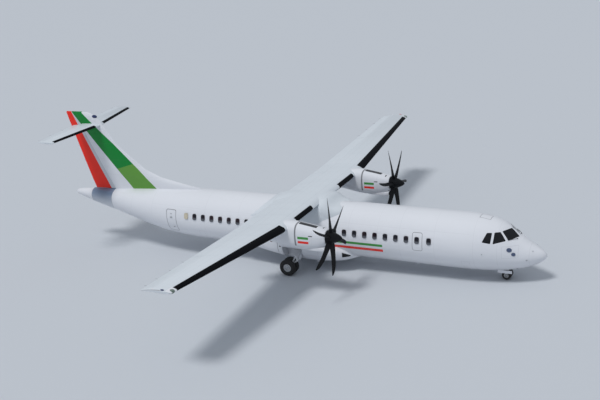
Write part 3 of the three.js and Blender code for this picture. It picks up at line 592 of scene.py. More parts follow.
# Door and hatch outlines: middle as aft and up, half length and height, corner radius, line width, strength
outlines = {
    "starboard": [
        ((20.055, -0.01), (0.31, 0.615), 0.09, 0.03, 1),
        ((1.53, -0.03), (0.36, 0.28), 0.04, 0.012, 0.3),
    ],
    "port": [
        ((20.0, 0.195), (0.415, 0.88), 0.11, 0.03, 1),
        ((4.2, 0.122), (0.652, 0.792), 0.11, 0.03, 1),
        ((1.53, -0.03), (0.36, 0.28), 0.04, 0.012, 0.3),
    ],
    "both": [
        ((5.96, 0.225), (0.25, 0.435), 0.09, 0.026, 1),
        ((3.62, -0.72), (0.2, 0.14), 0.03, 0.01, 0.35),
        ((18.2, -0.6), (0.16, 0.2), 0.03, 0.01, 0.35),
        ((8.6, -0.85), (0.22, 0.14), 0.03, 0.01, 0.3),
        ((16.4, -0.82), (0.25, 0.15), 0.03, 0.01, 0.3),
    ],
}


def whiteFuselagePaint():
    paint = Paint("white_fuselage_paint")
    across, aft, up = paint.place()
    paint.weathered(livery["white"], livery["shade"])
    along = aft.between(*livery["stripeSpan"], 0.01)
    for stripe in ("green", "red"):
        paint.layer(livery[stripe], along * up.between(*livery[stripe + "Stripe"], 0.006))
    seams = (aft.line(0.705, 0.01) * 0.3).either(lines(aft, livery["hoops"], 0.009, 0.22))
    seams = seams.either(lines(up, livery["laps"], 0.008, 0.18) * aft.between(3.4, 21.4))
    sideOf = {"starboard": across.below(0), "port": across.above(0), "both": None}
    for side, rows in outlines.items():
        for middle, half, radius, width, strength in rows:
            edge = roundedBox(aft, up, middle, half, radius).line(0, width) * strength
            seams = seams.either(edge * sideOf[side] if sideOf[side] else edge)
    crown = roundedBox(aft, across, (2.895, 0), (0.262, 0.247), 0.03).line(0, 0.026) * up.above(0.9)
    seams = seams.either(crown)
    paint.seams(seams * 0.8)
    # streaky darkening towards the bottom of the fuselage
    lowerDarkening = paint.noise(2.2, 6, stretch=(1, 0.12, 0.5)) * up.below(-0.75, 0.5) * 0.22
    paint.layer(livery["lowerDarkening"], lowerDarkening)
    return paint.finish(paint.roughness(), seams * -1, 0.003, coat=0.25)


def whitePaint(name, seamsOf=None):
    paint = Paint(name)
    _, aft, up = paint.place()
    paint.weathered(livery["white"], livery["shade"])
    if not seamsOf:
        return paint.finish(paint.roughness(), paint.noise(30, 2), 0.0004, coat=0.25)
    seams = seamsOf(aft, up)
    paint.seams(seams * 0.85)
    return paint.finish(paint.roughness(), seams * -1, 0.003, coat=0.25)


# The wing's plan: leading edge and chord at the centre and at the tip
wing = {
    "centreHalf": 4.8,
    "halfSpan": 13.525,
    "lead": 11.3,
    "chord": 2.57,
    "height": 1.571,
    "thickness": 0.18,
    "tipLead": 12.04,
    "tipChord": 1.557,
    "tipHeight": 2.08,
    "tipThickness": 0.13,
    "camber": 0.02,
    "incidence": math.radians(2),
    "grey": (0.715, 0.76, 0.8),
    "greyShade": (0.63, 0.685, 0.73),
    "rubber": (0.004, 0.0045, 0.006),
    # where along the span each boot lies, and how much of the chord it covers
    "boots": ((1.62, 3.47, 0.066), (4.66, 13.1, 0.138)),
    "ribs": (1.66, 3.42, 4.8, 6.4, 8.1, 9.29, 10.6, 12.0, 13.2),
}


def wingAt(across):
    t = min(1, max(0, (abs(across) - wing["centreHalf"]) / (wing["halfSpan"] - wing["centreHalf"])))
    return [
        wing[key] + (wing["tip" + key[0].upper() + key[1:]] - wing[key]) * t
        for key in ("lead", "chord", "height", "thickness")
    ]


def foil(t):
    return 5 * (0.2969 * math.sqrt(t) - 0.126 * t - 0.3516 * t ** 2 + 0.2843 * t ** 3 - 0.1036 * t ** 4)


def wingPoint(across, t, side, grow=0):
    lead, chord, height, thickness = wingAt(across)
    centre = wing["camber"] * 4 * t * (1 - t) * chord - t * chord * math.tan(wing["incidence"])
    half = foil(t) * thickness * chord + 0.005 * t + grow
    return Vector((across, lead + t * chord, height + centre + side * half))


def wingShare(across, aft):
    # place along the chord, 0 at the leading edge
    out = across.absolute()
    span = ((out - wing["centreHalf"]) / (wing["halfSpan"] - wing["centreHalf"])).clamped()
    lead = span * (wing["tipLead"] - wing["lead"]) + wing["lead"]
    chord = span * (wing["tipChord"] - wing["chord"]) + wing["chord"]
    return out, (aft - lead) / chord


def wingGrey(paint):
    streaks = paint.noise(1.3, 5, stretch=(1, 0.1, 1))
    clouds = paint.noise(0.3, 3)
    paint.mix(wing["grey"], wing["greyShade"], streaks * 0.6 + clouds * 0.4 - 0.38)


def wingPaint(name, boots=True):
    paint = Paint(name)
    across, aft, _ = paint.place()
    out, share = wingShare(across, aft)
    wingGrey(paint)
    seams = share.line(0.19, 0.004) * 0.35
    for place, strength in ((0.35, 0.25), (0.52, 0.3), (0.66, 0.5)):
        seams = seams.either(share.line(place, 0.0035) * strength)
    seams = seams.either(lines(out, wing["ribs"], 0.009, 0.3))
    seams = seams * share.above(0.14, 0.01)
    paint.seams(seams * 0.7)
    tip = out.between(13.1, 13.51, 0.006) * share.below(0.175, 0.01)
    paint.layer(livery["white"], tip)
    rim = out.line(13.5, 0.03) * share.between(0.35, 0.96, 0.03)
    paint.seams(rim * 0.9)
    rough = paint.roughness(0.36)
    height = seams * -1
    shine = 0.3
    if boots:
        boot = None
        for low, high, depth in wing["boots"]:
            patch = share.below(depth, 0.003) * out.between(low, high, 0.008)
            boot = boot.either(patch) if boot else patch
        paint.layer(wing["rubber"], boot)
        rough = rough * boot.other() + boot * 0.5
        shine = boot.other() * 0.25 + 0.05
        ribs = share.step("MULTIPLY", 520.0).step("SINE") * boot * 0.2
        height = height + boot + ribs
    return paint.finish(rough, height, 0.002, specular=shine)


def fairingPaint():
    paint = Paint("wing_fairing_paint")
    across, aft, _ = paint.place()
    out = across.absolute()
    seams = aft.line(13.95, 0.012) * 0.5
    seams = seams.either(roundedBox(aft, out, (12.1, 0), (0.9, 0.55), 0.1).line(0, 0.01) * 0.3)
    wingGrey(paint)
    paint.seams(seams * 0.75)
    return paint.finish(paint.roughness(0.34), seams * -1, 0.003, coat=0.1)


tail = {
    "lead": 24.9,
    "tipLead": 25.4,
    "half": 3.655,
    "height": 4.72,
    "bootDepth": 0.16,
    "boots": (0.36, 3.5),
    "ribs": (0.6, 1.8, 3.0, 3.52),
    "grey": (0.7, 0.75, 0.79),
    "greyShade": (0.6, 0.65, 0.7),
}


def tailplanePaint():
    paint = Paint("tailplane_paint")
    across, aft, _ = paint.place()
    out = across.absolute()
    lead = out * ((tail["tipLead"] - tail["lead"]) / tail["half"]) + tail["lead"]
    streaks = paint.noise(1.5, 5, stretch=(1, 0.1, 1))
    paint.mix(tail["grey"], tail["greyShade"], streaks - 0.35)
    seams = (aft - lead).line(0.45, 0.008) * 0.4
    seams = seams.either(lines(out, tail["ribs"], 0.007, 0.35))
    boot = (aft - lead).below(tail["bootDepth"], 0.006) * out.between(*tail["boots"], 0.006)
    seams = seams * boot.other()
    paint.seams(seams * 0.7)
    paint.layer(wing["rubber"], boot)
    shine = boot.other() * 0.25 + 0.05
    return paint.finish(boot * 0.15 + 0.34, boot - seams, 0.002, specular=shine)


# Fin livery: lines across the fin, each through (aft, up) at its head and foot
finLines = {
    "greenFront": ((26.05, 5.42), (21.64, 1.32)),
    "greenRear": ((26.73, 5.39), (23.19, 1.17)),
    "redFront": ((26.76, 5.38), (24.74, 1.07)),
    "toneSplit": 2.55,
    "toneLean": 0.32,
}


def pastLine(aft, up, ends, soft=0.008):
    # 1 aft of a sloping line and 0 ahead of it
    (headAft, headUp), (footAft, footUp) = ends
    slope = (headAft - footAft) / (headUp - footUp)
    return (aft - (up - footUp) * slope).above(footAft, soft)


def finPaint(name, white, shade):
    paint = Paint(name)
    _, aft, up = paint.place()
    paint.weathered(livery[white], livery[shade])
    green = pastLine(aft, up, finLines["greenFront"]) * pastLine(aft, up, finLines["greenRear"]).other()
    red = pastLine(aft, up, finLines["redFront"])
    tone = (up + (aft - 23.2) * finLines["toneLean"]).below(finLines["toneSplit"], 0.01)
    paint.layer(livery["darkGreen"], green)
    paint.layer(livery["lightGreen"], green * tone)
    paint.layer(livery["red"], red)
    hinge = (aft - (up - 1.07) * 0.465)
    seams = hinge.line(24.38, 0.012) * 0.35
    seams = seams.either(lines(up, (1.9, 2.8, 3.7, 4.35), 0.008, 0.25))
    paint.seams(seams * 0.7)
    return paint.finish(paint.roughness(0.34), seams * -1, 0.002, coat=0.03, specular=0.3)


# Tail band: its own grey-blue, with painted reflection of the sky, pale below and dark blue above
band = {
    "pale": (0.64, 0.67, 0.72),
    "dark": (0.19, 0.26, 0.38),
    "edges": (24.445, 25.935),
}


def bandPaint():
    paint = Paint("band_paint")
    _, aft, up = paint.place()
    clouds = paint.noise(1.2, 5, stretch=(1, 0.3, 1))
    # painted reflection: pale at the foot of the band, dark blue towards its top
    reflectionFade = (up * 1.5 + clouds * 0.6 - 0.65).clamped()
    paint.mix(band["pale"], band["dark"], reflectionFade)
    paint.seams(lines(aft, band["edges"], 0.02, 0.6))
    return paint.finish(clouds * 0.12 + 0.3, clouds, 0.0006, coat=0.1)


def cockpitGlassPaint():
    paint = Paint("cockpit_glass")
    inside = paint.noise(1.7, 2)
    paint.mix((0.004, 0.005, 0.007), (0.012, 0.012, 0.016), (inside - 0.45) * 2.5)
    return paint.finish(paint.noise(8, 3) * 0.05 + 0.04, None, coat=0, specular=0.35)


def cabinGlassPaint():
    # dark panes, paler at the foot where the sill and the blind show behind the glass
    paint = Paint("cabin_glass")
    _, aft, up = paint.place()
    slope = (cabin["rearHeight"] - cabin["frontHeight"]) / (cabin["lastWindow"] - cabin["frontWindow"])
    height = up - (aft - cabin["frontWindow"]) * slope - cabin["frontHeight"]
    inside = paint.noise(1.7, 2)
    paint.mix((0.012, 0.012, 0.018), (0.05, 0.018, 0.02), (inside - 0.45) * 2.5)
    paint.layer((0.16, 0.17, 0.19), height.below(-0.05, 0.1) * 0.8)
    return paint.finish(paint.noise(8, 3) * 0.05 + 0.05, None, coat=0, specular=0.35)


def plainMaterial(name, base, shade, roughness, scale, metallic=0, coat=0, bump=0.0006, specular=0.5):
    paint = Paint(name)
    grain = paint.noise(scale, 5)
    paint.mix(base, shade, ((grain - 0.4) * 1.6).clamped())
    return paint.finish(grain * 0.16 + roughness, grain, bump, metallic, coat, specular)


# The cowls: the joint, painted bars, and a strip and vents as middle and half size; the strip and vents are
# near black, painted shade of a gap and of the vent openings
cowl = {
    "offset": 4.05,
    "joint": 10.91,
    "jointWidth": 0.07,
    "jointFoot": 0.76,
    "strip": ((10.38, 0), (0.46, 0.13)),
    "jointGrey": (0.1, 0.105, 0.115),
    "gapShadeBlack": (0.012, 0.013, 0.015),
    "bars": (("green", 1.12, 1.24), ("red", 0.9, 1.02)),
    "barSpan": (10.22, 10.78),
    "sideVent": ((10.11, 1.3), (0.1, 0.022)),
    "crownVent": ((9.64, 3.93), (0.03, 0.09)),
}


def nacellePaint():
    paint = Paint("nacelle_paint")
    across, aft, up = paint.place()
    offset = (across.absolute() - cowl["offset"]).absolute()
    paint.weathered(livery["white"], livery["shade"])
    for tint, low, high in cowl["bars"]:
        bar = aft.between(*cowl["barSpan"], 0.006) * up.between(low, high, 0.005)
        paint.layer(livery[tint], bar)
    fine = up.line(1.2, 0.01) * aft.between(9.5, 10.8) * 0.25
    fine = fine.either(aft.line(10.06, 0.01) * 0.2).either(aft.line(11.95, 0.012) * 0.3)
    joint = aft.line(cowl["joint"], cowl["jointWidth"]) * up.above(cowl["jointFoot"], 0.03)
    # the near-black strip and vents are painted shade of a gap and of the vent openings
    strip = roundedBox(aft, offset, *cowl["strip"], 0.03).below(0, 0.01)
    strip = strip * up.above(1.3)
    strip = strip.either(roundedBox(aft, up, *cowl["sideVent"], 0.02).below(0, 0.01))
    crownVent = roundedBox(aft, across.absolute(), *cowl["crownVent"], 0.02).below(0, 0.01)
    strip = strip.either(crownVent * up.above(1.3))
    paint.seams(fine * 0.85)
    paint.layer(cowl["jointGrey"], joint * 0.9)
    paint.layer(cowl["gapShadeBlack"], strip)
    height = fine.either(joint).either(strip) * -1
    return paint.finish(paint.roughness(), height, 0.003, coat=0.25)


def bellySeams(aft, up):
    seams = aft.line(13.48, 0.03) * up.between(-0.98, -0.45, 0.01)
    seams = seams.either(up.line(-0.98, 0.01) * aft.between(10.4, 13.48) * 0.4)
    return seams.either(lines(aft, (10.4, 11.2, 14.4), 0.01, 0.3))


cabin = {
    "windowWidth": 0.235,
    "windowHeight": 0.335,
    "windowRadius": 0.085,
    "recess": 0.022,
    "pitch": 0.548,
    "rearPitch": 0.528,
    "frontWindow": 5.369,
    "secondWindow": 5.977,
    "frontCount": 13,
    "lastWindow": 19.065,
    "rearCount": 12,
    "frontHeight": 0.3,
    "rearHeight": 0.36,
    "blanked": 19.065,
}


print("materials")
paints = {
    "fuselage": whiteFuselagePaint(),
    "white": whitePaint("white_paint"),
    "belly": whitePaint("belly_fairing_paint", bellySeams),
    "nacelle": nacellePaint(),
    "fairing": fairingPaint(),
    "wing": wingPaint("wing_paint"),
    "control": wingPaint("control_paint", boots=False),
    "tailplane": tailplanePaint(),
    "fin": finPaint("fin_paint", "white", "shade"),
    # the rudder's white carries painted shade, darker than the fin's
    "rudder": finPaint("rudder_paint", "shadedRudderWhite", "shadedRudderTone"),
    "band": bandPaint(),
    "glass": cabinGlassPaint(),
    "cockpitGlass": cockpitGlassPaint(),
}
# Plain finishes: name, colour, its second tone, roughness, grain, metal, coat, bump depth, specular level
plainFinishes = {
    "rubber": ("black_rubber", (0.012, 0.012, 0.013), (0.03, 0.03, 0.032), 0.6, 30, 0, 0, 0.0005),
    "tyre": ("tyre_rubber", (0.018, 0.018, 0.018), (0.05, 0.048, 0.045), 0.72, 24, 0, 0, 0.0008),
    "steel": ("gear_steel", (0.5, 0.52, 0.54), (0.34, 0.35, 0.36), 0.3, 9, 0.7),
    "legPaint": ("leg_paint", (0.66, 0.68, 0.7), (0.5, 0.51, 0.52), 0.32, 7, 0, 0.2),
    "alloy": ("wheel_alloy", (0.62, 0.63, 0.64), (0.4, 0.41, 0.42), 0.34, 14, 0.6),
    "dark": ("dark_metal", (0.03, 0.03, 0.033), (0.07, 0.07, 0.075), 0.42, 14, 0.5),
    "blade": ("propeller_blade", (0.006, 0.0065, 0.008), (0.012, 0.0125, 0.014), 0.4, 12, 0, 0, 0.0006, 0.2),
    "heat": ("exhaust_metal", (0.22, 0.17, 0.13), (0.09, 0.08, 0.08), 0.38, 9, 0.9),
    "engine": ("engine_metal", (0.3, 0.3, 0.31), (0.16, 0.16, 0.17), 0.4, 6, 0.9),
    "redLens": ("red_lens", (0.6, 0.01, 0.01), (0.35, 0.005, 0.005), 0.05, 20, 0, 0.6, 0.0002),
    "clearLens": ("clear_lens", (0.85, 0.87, 0.9), (0.6, 0.63, 0.68), 0.04, 20, 0, 0.6, 0.0002),
    "sensor": ("sensor_plate", (0.085, 0.115, 0.2), (0.14, 0.175, 0.27), 0.3, 14, 0.3),
    "tipGlass": ("tip_light_glass", (0.12, 0.17, 0.14), (0.4, 0.46, 0.42), 0.05, 9, 0, 0.4),
    # near black, painted shade inside the intake ducts and the belly's openings
    "paintedShadeBlack": ("intake_painted_shade", (0.006, 0.006, 0.007), (0.014, 0.014, 0.015), 0.65, 10),
    "blueLens": ("blue_lens", (0.015, 0.03, 0.12), (0.005, 0.01, 0.05), 0.05, 8, 0, 0.6, 0.0002),
    "cream": ("blank_window", (0.62, 0.56, 0.43), (0.5, 0.45, 0.34), 0.4, 12),
}
paints.update((key, plainMaterial(*row)) for key, row in plainFinishes.items())

print("fuselage")


def cabinWindows():
    places = [cabin["frontWindow"]]
    places += [cabin["secondWindow"] + cabin["pitch"] * k for k in range(cabin["frontCount"])]
    places += [cabin["lastWindow"] - cabin["rearPitch"] * k for k in range(cabin["rearCount"])]
    rise = (cabin["rearHeight"] - cabin["frontHeight"]) / (cabin["lastWindow"] - cabin["frontWindow"])
    return sorted((aft, cabin["frontHeight"] + rise * (aft - cabin["frontWindow"])) for aft in set(places))


def skinPlane(side, aft, up):
    spot, normal = hullSpot(side, aft, up)
    return planeAt(spot, normal)


def windowCutter(side, aft, up):
    outline = roundedOutline(cabin["windowWidth"], cabin["windowHeight"], cabin["windowRadius"])
    return moved(prism(outline, -cabin["recess"], 0.06), skinPlane(side, aft, up))


def windowPane(side, aft, up):
    outline = roundedOutline(
        cabin["windowWidth"] - 0.004, cabin["windowHeight"] - 0.004, cabin["windowRadius"] - 0.002,
    )
    return moved(prism(outline, -cabin["recess"] + 0.001, -cabin["recess"] + 0.011), skinPlane(side, aft, up))


hatchSpan = (5.72, 6.2)
windowsAll = cabinWindows()
onHull = [place for place in windowsAll if not hatchSpan[0] < place[0] < hatchSpan[1]]
onHatch = [place for place in windowsAll if hatchSpan[0] < place[0] < hatchSpan[1]]

fuselage = dressedNode("fuselage", "fuselage")
cutWith(fuselage, joined(*[windowCutter(side, *place) for side in (-1, 1) for place in onHull]))
followHull(fuselage)
for side, name in bothSides:
    hatch = dressedNode(f"exit_hatch_{name}", "fuselage")
    cutWith(hatch, joined(*[windowCutter(side, *place) for place in onHatch]))
    followHull(hatch)
    clear = [place for place in windowsAll if place[0] != cabin["blanked"]]
    panes = joined(*[windowPane(side, *place) for place in clear])
    makePiece(f"cabin_windows_{name}", panes, "glass")
    blank = joined(*[windowPane(side, *place) for place in windowsAll if place[0] == cabin["blanked"]])
    makePiece(f"blank_window_{name}", blank, "cream")
    for place in ("front", "side", "rear"):
        followHull(dressedNode(f"pane_{place}_{name}", "cockpitGlass"))
for node in ("radome", "crew_hatch", "tail_cone"):
    followHull(dressedNode(node, "fuselage"))
followHull(dressedNode("tail_band", "band"))
for node in ("passenger_door", "service_door", "cargo_door"):
    followHull(dressedNode(node, "fuselage"))

print("wing, fairings and tail")
for node in ("wing_left", "wing_right", "wing_centre"):
    dressedNode(node, "wing", smooth=40)
for node in ("flap_inner", "flap_outer", "aileron"):
    for side in ("left", "right"):
        dressedNode(f"{node}_{side}", "control", smooth=40)
for side in ("left", "right"):
    dressedNode(f"tailplane_{side}", "tailplane", smooth=40)
    dressedNode(f"elevator_{side}", "tailplane", smooth=40)
dressedNode("wing_fairing", "fairing", smooth=40)
belly = dressedNode("belly_fairing", "belly", smooth=40)
dressedNode("fin", "fin", smooth=40)
dressedNode("rudder", "rudder", smooth=40)

print("nacelles and propellers")
for side in ("left", "right"):
    dressedNode(f"nacelle_{side}", "nacelle", smooth=40)

# Intake ducts: aft, half width, top, bottom
intakeRows = [
    (9.47, 0.331, 0.733, 0.518),
    (9.7, 0.317, 0.647, 0.506),
    (9.94, 0.236, 0.599, 0.508),
]


def ductRing(row, side, inset):
    aft, half, top, bottom = row
    ring = []
    for cos, sin in circle(28):
        size = (abs(cos) ** 3.2 + abs(sin) ** 3.2) ** (-1 / 3.2)
        ring.append(Vector((
            side * cowl["offset"] + cos * size * (half - inset), aft,
            (top + bottom) / 2 + sin * size * ((top - bottom) / 2 - inset),
        )))
    return ring


# a near-black shell inside each intake duct: painted shade of the duct's inside
for side, name in bothSides:
    inner = [ductRing(row, side, 0.012) for row in intakeRows]
    inner[-1] = [point - Vector((0, 0.012, 0)) for point in inner[-1]]
    outer = [ductRing(row, side, 0.003) for row in intakeRows]
    makePiece(f"intake_shade_liner_{name}", loft([*reversed(inner), *outer]), "paintedShadeBlack")

propeller = {
    "across": 4.05,
    "aft": 9.23,
    "up": 1.162,
    "phase": {"left": 44, "right": 57.5},
    "count": 6,
    "sections": 26,
    "sides": 20,
}
# radius, chord, sweep back along the turn, pitch angle in degrees, thickness
bladeRows = [
    (0.15, 0.15, 0, 66, 0.092),
    (0.42, 0.265, -0.008, 60, 0.062),
    (0.62, 0.25, -0.012, 56, 0.048),
    (0.9, 0.225, -0.015, 50, 0.034),
    (1.25, 0.215, -0.005, 44, 0.024),
    (1.7, 0.18, 0.045, 37, 0.015),
    (1.965, 0.075, 0.115, 34, 0.008),
]
bladeShape = smoothTable(bladeRows)
# aft of the propeller's plane, radius
spinnerProfile = [
    (-0.588, 0), (-0.585, 0.012), (-0.562, 0.045), (-0.52, 0.085), (-0.48, 0.115), (-0.41, 0.156),
    (-0.34, 0.191), (-0.24, 0.231), (-0.13, 0.266), (-0.13, 0.1),
]
hubProfile = [
    (-0.1297, 0.1), (-0.1297, 0.266), (-0.07, 0.283), (0.0, 0.3), (0.06, 0.314), (0.12, 0.326),
    (0.178, 0.333), (0.185, 0.327), (0.185, 0.09), (0.38, 0.09),
]


def bladeSolid():
    rings = []
    for i in range(propeller["sections"] + 1):
        t = i / propeller["sections"]
        radius = 0.24 + (bladeRows[-1][0] - 0.24) * math.sin(t * math.pi / 2)
        chord, sweep, angle, thick = bladeShape(radius)
        tilt = math.radians(angle)
        ring = []
        for cos, sin in circle(propeller["sides"]):
            share = 0.5 + 0.5 * cos
            form = foil(share) / 0.5 * 0.98 + 0.02
            along = sweep - cos * chord / 2
            off = math.copysign(form, sin) * thick / 2 if 0 < share < 1 else 0
            ring.append(Vector((
                along * math.cos(tilt) - off * math.sin(tilt),
                along * math.sin(tilt) + off * math.cos(tilt),
                radius,
            )))
        rings.append(ring)
    return loft(rings)


def propellerPieces(side, sign):
    centre = Vector((sign * propeller["across"], propeller["aft"], propeller["up"]))
    blades = []
    for i in range(propeller["count"]):
        turn = math.radians(propeller["phase"][side] + 360 * i / propeller["count"])
        place = Matrix.Translation(centre) @ Matrix.Rotation(turn, 4, "Y")
        blades.append(moved(bladeSolid(), place))
        cuff = turned([(0.2, 0.075), (0.3, 0.082), (0.325, 0.085), (0.34, 0.08)], (0, 0, 0), (0, 0, 1), 20)
        blades.append(moved(cuff, place))
    hub = turned(hubProfile, centre, (0, 1, 0), 48)
    spinner = turned(spinnerProfile, centre, (0, 1, 0), 48)
    for node, name, shape in (("propeller", "rotor", joined(hub, *blades)), ("spinner", "shell", spinner)):
        piece = makePiece(f"{node}_{side}_{name}", shape, "blade", f"propeller_{side}")
        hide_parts(f"{node}_{side}")


for side, sign in (("left", 1), ("right", -1)):
    propellerPieces(side, sign)
    nodes[f"engine_{side}"].material_slots[0].material = paints["engine"]

print("landing gear")
for node in ("nose_strut", "nose_fork", "main_leg_left", "main_leg_right"):
    dressedNode(node, "legPaint", smooth=40)
for node in ("nose_wheels", "main_wheels_left", "main_wheels_right"):
    dressedNode(node, "alloy", smooth=30)
for node in ("nose_gear_door_left", "nose_gear_door_right", "main_gear_door_left", "main_gear_door_right"):
    dressedNode(node, "white")


def ringSolid(section, centre, sides=72):
    # a closed section, as (across, radius), swept round an axle
    count = len(section)
    points, faces = [], []
    for turn, (cos, sin) in enumerate(circle(sides)):
        points += [Vector(centre) + Vector((x, radius * cos, radius * sin)) for x, radius in section]
        after = (turn + 1) % sides
        for i in range(count):
            k = (i + 1) % count
            faces.append((turn * count + i, turn * count + k, after * count + k, after * count + i))
    return points, faces


# Half a tyre's section from the bead to the tread's middle, as shares of its width and of its sidewall
tyreHalf = [
    (0.34, 0), (0.375, 0.02), (0.45, 0.15), (0.49, 0.33), (0.5, 0.5), (0.487, 0.66), (0.458, 0.78),
    (0.412, 0.88), (0.36, 0.945), (0.3, 0.98), (0.24, 0.994), (0.23, 0.99), (0.226, 0.95),
    (0.205, 0.95), (0.2, 0.996), (0.085, 1), (0.08, 0.995), (0.076, 0.955), (0.055, 0.955), (0.05, 1),
]
tyres = {
    "nose": {"radius": 0.225, "rim": 0.1125, "width": 0.185, "spacing": 0.33, "axle": 0.029},
    "main": {"radius": 0.43, "rim": 0.2055, "width": 0.24, "spacing": 0.36, "axle": 0.042},
}
axleAft = {"nose": 1.93, "main": 12.7}


def axlePlace(gear):
    # the axle's middle, with the tyres on the ground
    aft = axleAft[gear]
    rise = tyres[gear]["radius"] - stance["centrelineHeight"] - aft * math.sin(stance["pitch"])
    return Vector((0, aft, rise / math.cos(stance["pitch"])))


def tyreSolid(sizes, centre):
    wall = sizes["radius"] - sizes["rim"]
    half = [(x * sizes["width"], sizes["rim"] + 0.001 + up * (wall - 0.001)) for x, up in tyreHalf]
    return ringSolid(half + [(-x, radius) for x, radius in reversed(half)], centre)


def hubFittings(sizes, centre, side):
    # wheel bolts, lightening holes and a domed cap on the outer face of a hub; the holes are dark discs,
    # painted shade where the openings would be
    face = side * (sizes["spacing"] / 2 + sizes["width"] * 0.16)
    ring = sizes["rim"] * 0.58

    def placed(profile, start, facets):
        places = [centre + Vector((face, ring * cos, ring * sin)) for cos, sin in circle(10, start)]
        return [turned(profile, place, (side, 0, 0), facets) for place in places]

    bolts = placed([(-0.004, 0.009), (0.008, 0.009), (0.011, 0.006)], 0, 6)
    holes = placed([(-0.004, 0.014), (0.001, 0.014), (0.0015, 0.012)], math.pi / 10, 14)
    cap = sizes["axle"]
    out = sizes["spacing"] / 2 + sizes["width"] * 0.28
    dome = [(-0.004, cap * 1.25), (0.008, cap * 1.2), (0.016, cap * 0.9), (0.02, cap * 0.45), (0.021, 0)]
    bolts.append(turned(dome, centre + Vector((side * out, 0, 0)), (side, 0, 0), 28))
    return joined(*bolts), joined(*holes)


def wheelSet(name, sizes, centre, tyreNodes, body):
    bolts, holes = [], []
    for side, node in zip((1, -1), tyreNodes):
        middle = centre + Vector((side * sizes["spacing"] / 2, 0, 0))
        piece = makePiece(node + "_rubber", tyreSolid(sizes, middle), "tyre", body, smooth=28)
        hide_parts(node)
        bolt, hole = hubFittings(sizes, centre, side)
        bolts.append(bolt)
        holes.append(hole)
    makePiece(name + "_bolts", joined(*bolts), "steel", body)
    # dark discs: painted shade of the lightening holes
    makePiece(name + "_hub_hole_shade", joined(*holes), "dark", body)


print("wheels and legs")
noseAxle = axlePlace("nose")
mainAxle = axlePlace("main")
wheelSet("nose_wheel", tyres["nose"], noseAxle, ("nose_tyre_left", "nose_tyre_right"), bodyOf("nose_wheels"))
brake = {
    "section": [(0.06, 0.07), (0.06, 0.13), (0.066, 0.15), (0.085, 0.15), (0.087, 0.148), (0.087, 0.07)],
    "pistons": 5,
    "pistonRing": 0.11,
    "hoseRadius": 0.008,
}
for side, name in bothSides:
    centre = mainAxle + Vector((side * stance["wheelTrack"] / 2, 0, 0))
    order = ("outer", "inner") if side > 0 else ("inner", "outer")
    wheelSet(f"main_wheel_{name}", tyres["main"], centre, [f"main_tyre_{name}_{place}" for place in order],
             bodyOf(f"main_wheels_{name}"))
    packs = []
    for face in (1, -1):
        packs.append(ringSolid([(face * x, radius) for x, radius in brake["section"]], centre, 40))
        for cos, sin in circle(brake["pistons"], 0.5):
            place = centre + Vector((face * 0.062, brake["pistonRing"] * cos, brake["pistonRing"] * sin))
            packs.append(turned([(0, 0.017), (0.006, 0.016), (0.008, 0.012)], place, (-face, 0, 0), 14))
    makePiece(f"brake_{name}", joined(*packs), "dark")
    knee = Vector((side * stance["wheelTrack"] / 2, mainAxle.y - 0.48, mainAxle.z + 0.37))
    root = Vector((side * 1.17, mainAxle.y - 0.4, -0.9))
    hose = curvePoints([
        root.lerp(knee, 0.2) + Vector((0, -0.075, 0)), root.lerp(knee, 0.8) + Vector((0, -0.078, 0.01)),
        knee + Vector((side * 0.03, -0.06, -0.03)), knee.lerp(centre, 0.5) + Vector((side * 0.055, 0, -0.02)),
        centre + Vector((side * 0.045, -0.1, 0.05)),
    ], 20)
    makePiece(f"brake_hose_{name}", tube(hose, brake["hoseRadius"], 8), "rubber")

noseFoot = Vector((0, noseAxle.y, -1.315))
links = []
for side in (1, -1):
    apex = noseFoot + Vector((side * 0.012, 0.16, -0.12))
    links.append(tube([noseFoot + Vector((side * 0.034, 0.045, -0.035)), apex], 0.011))
    links.append(tube([apex, noseAxle + Vector((side * 0.034, 0.035, 0.035))], 0.011))
links.append(tube([noseFoot + Vector((x, 0.16, -0.12)) for x in (-0.026, 0.026)], 0.013))
makePiece("nose_torque_links", joined(*links), "legPaint", bodyOf("nose_fork"))
lampSpot = Vector((0, noseAxle.y - 0.09, -1.08))
lampCase = [(-0.03, 0.02), (0, 0.05), (0.05, 0.07), (0.06, 0.072), (0.06, 0.062), (0.045, 0.06)]
lampAim = (0, -1, -0.1)
makePiece("taxi_lamp_case", turned(lampCase, lampSpot, lampAim), "dark")
lampGlass = [(0.04, 0.06), (0.052, 0.058), (0.06, 0.04), (0.063, 0)]
makePiece("taxi_lamp_glass", turned(lampGlass, lampSpot, lampAim), "clearLens")

def bead(centre, size, rows=14):
    # a smooth egg with three half lengths
    rings = []
    for i in range(rows + 1):
        turn = math.pi * (0.02 + 0.96 * i / rows)
        wide, aft = math.sin(turn), -size[1] * math.cos(turn)
        rings.append([
            Vector(centre) + Vector((size[0] * wide * cos, aft, size[2] * wide * sin))
            for cos, sin in circle(24)
        ])
    return loft(rings)


def ellipse(halfLong, halfHigh, sides=28):
    return [(halfLong * cos, halfHigh * sin) for cos, sin in circle(sides)]


def skinPlate(side, aft, up, outline, rise=0.004, bevel=0.002):
    return moved(prism(outline, -0.02, rise, bevel), skinPlane(side, aft, up))


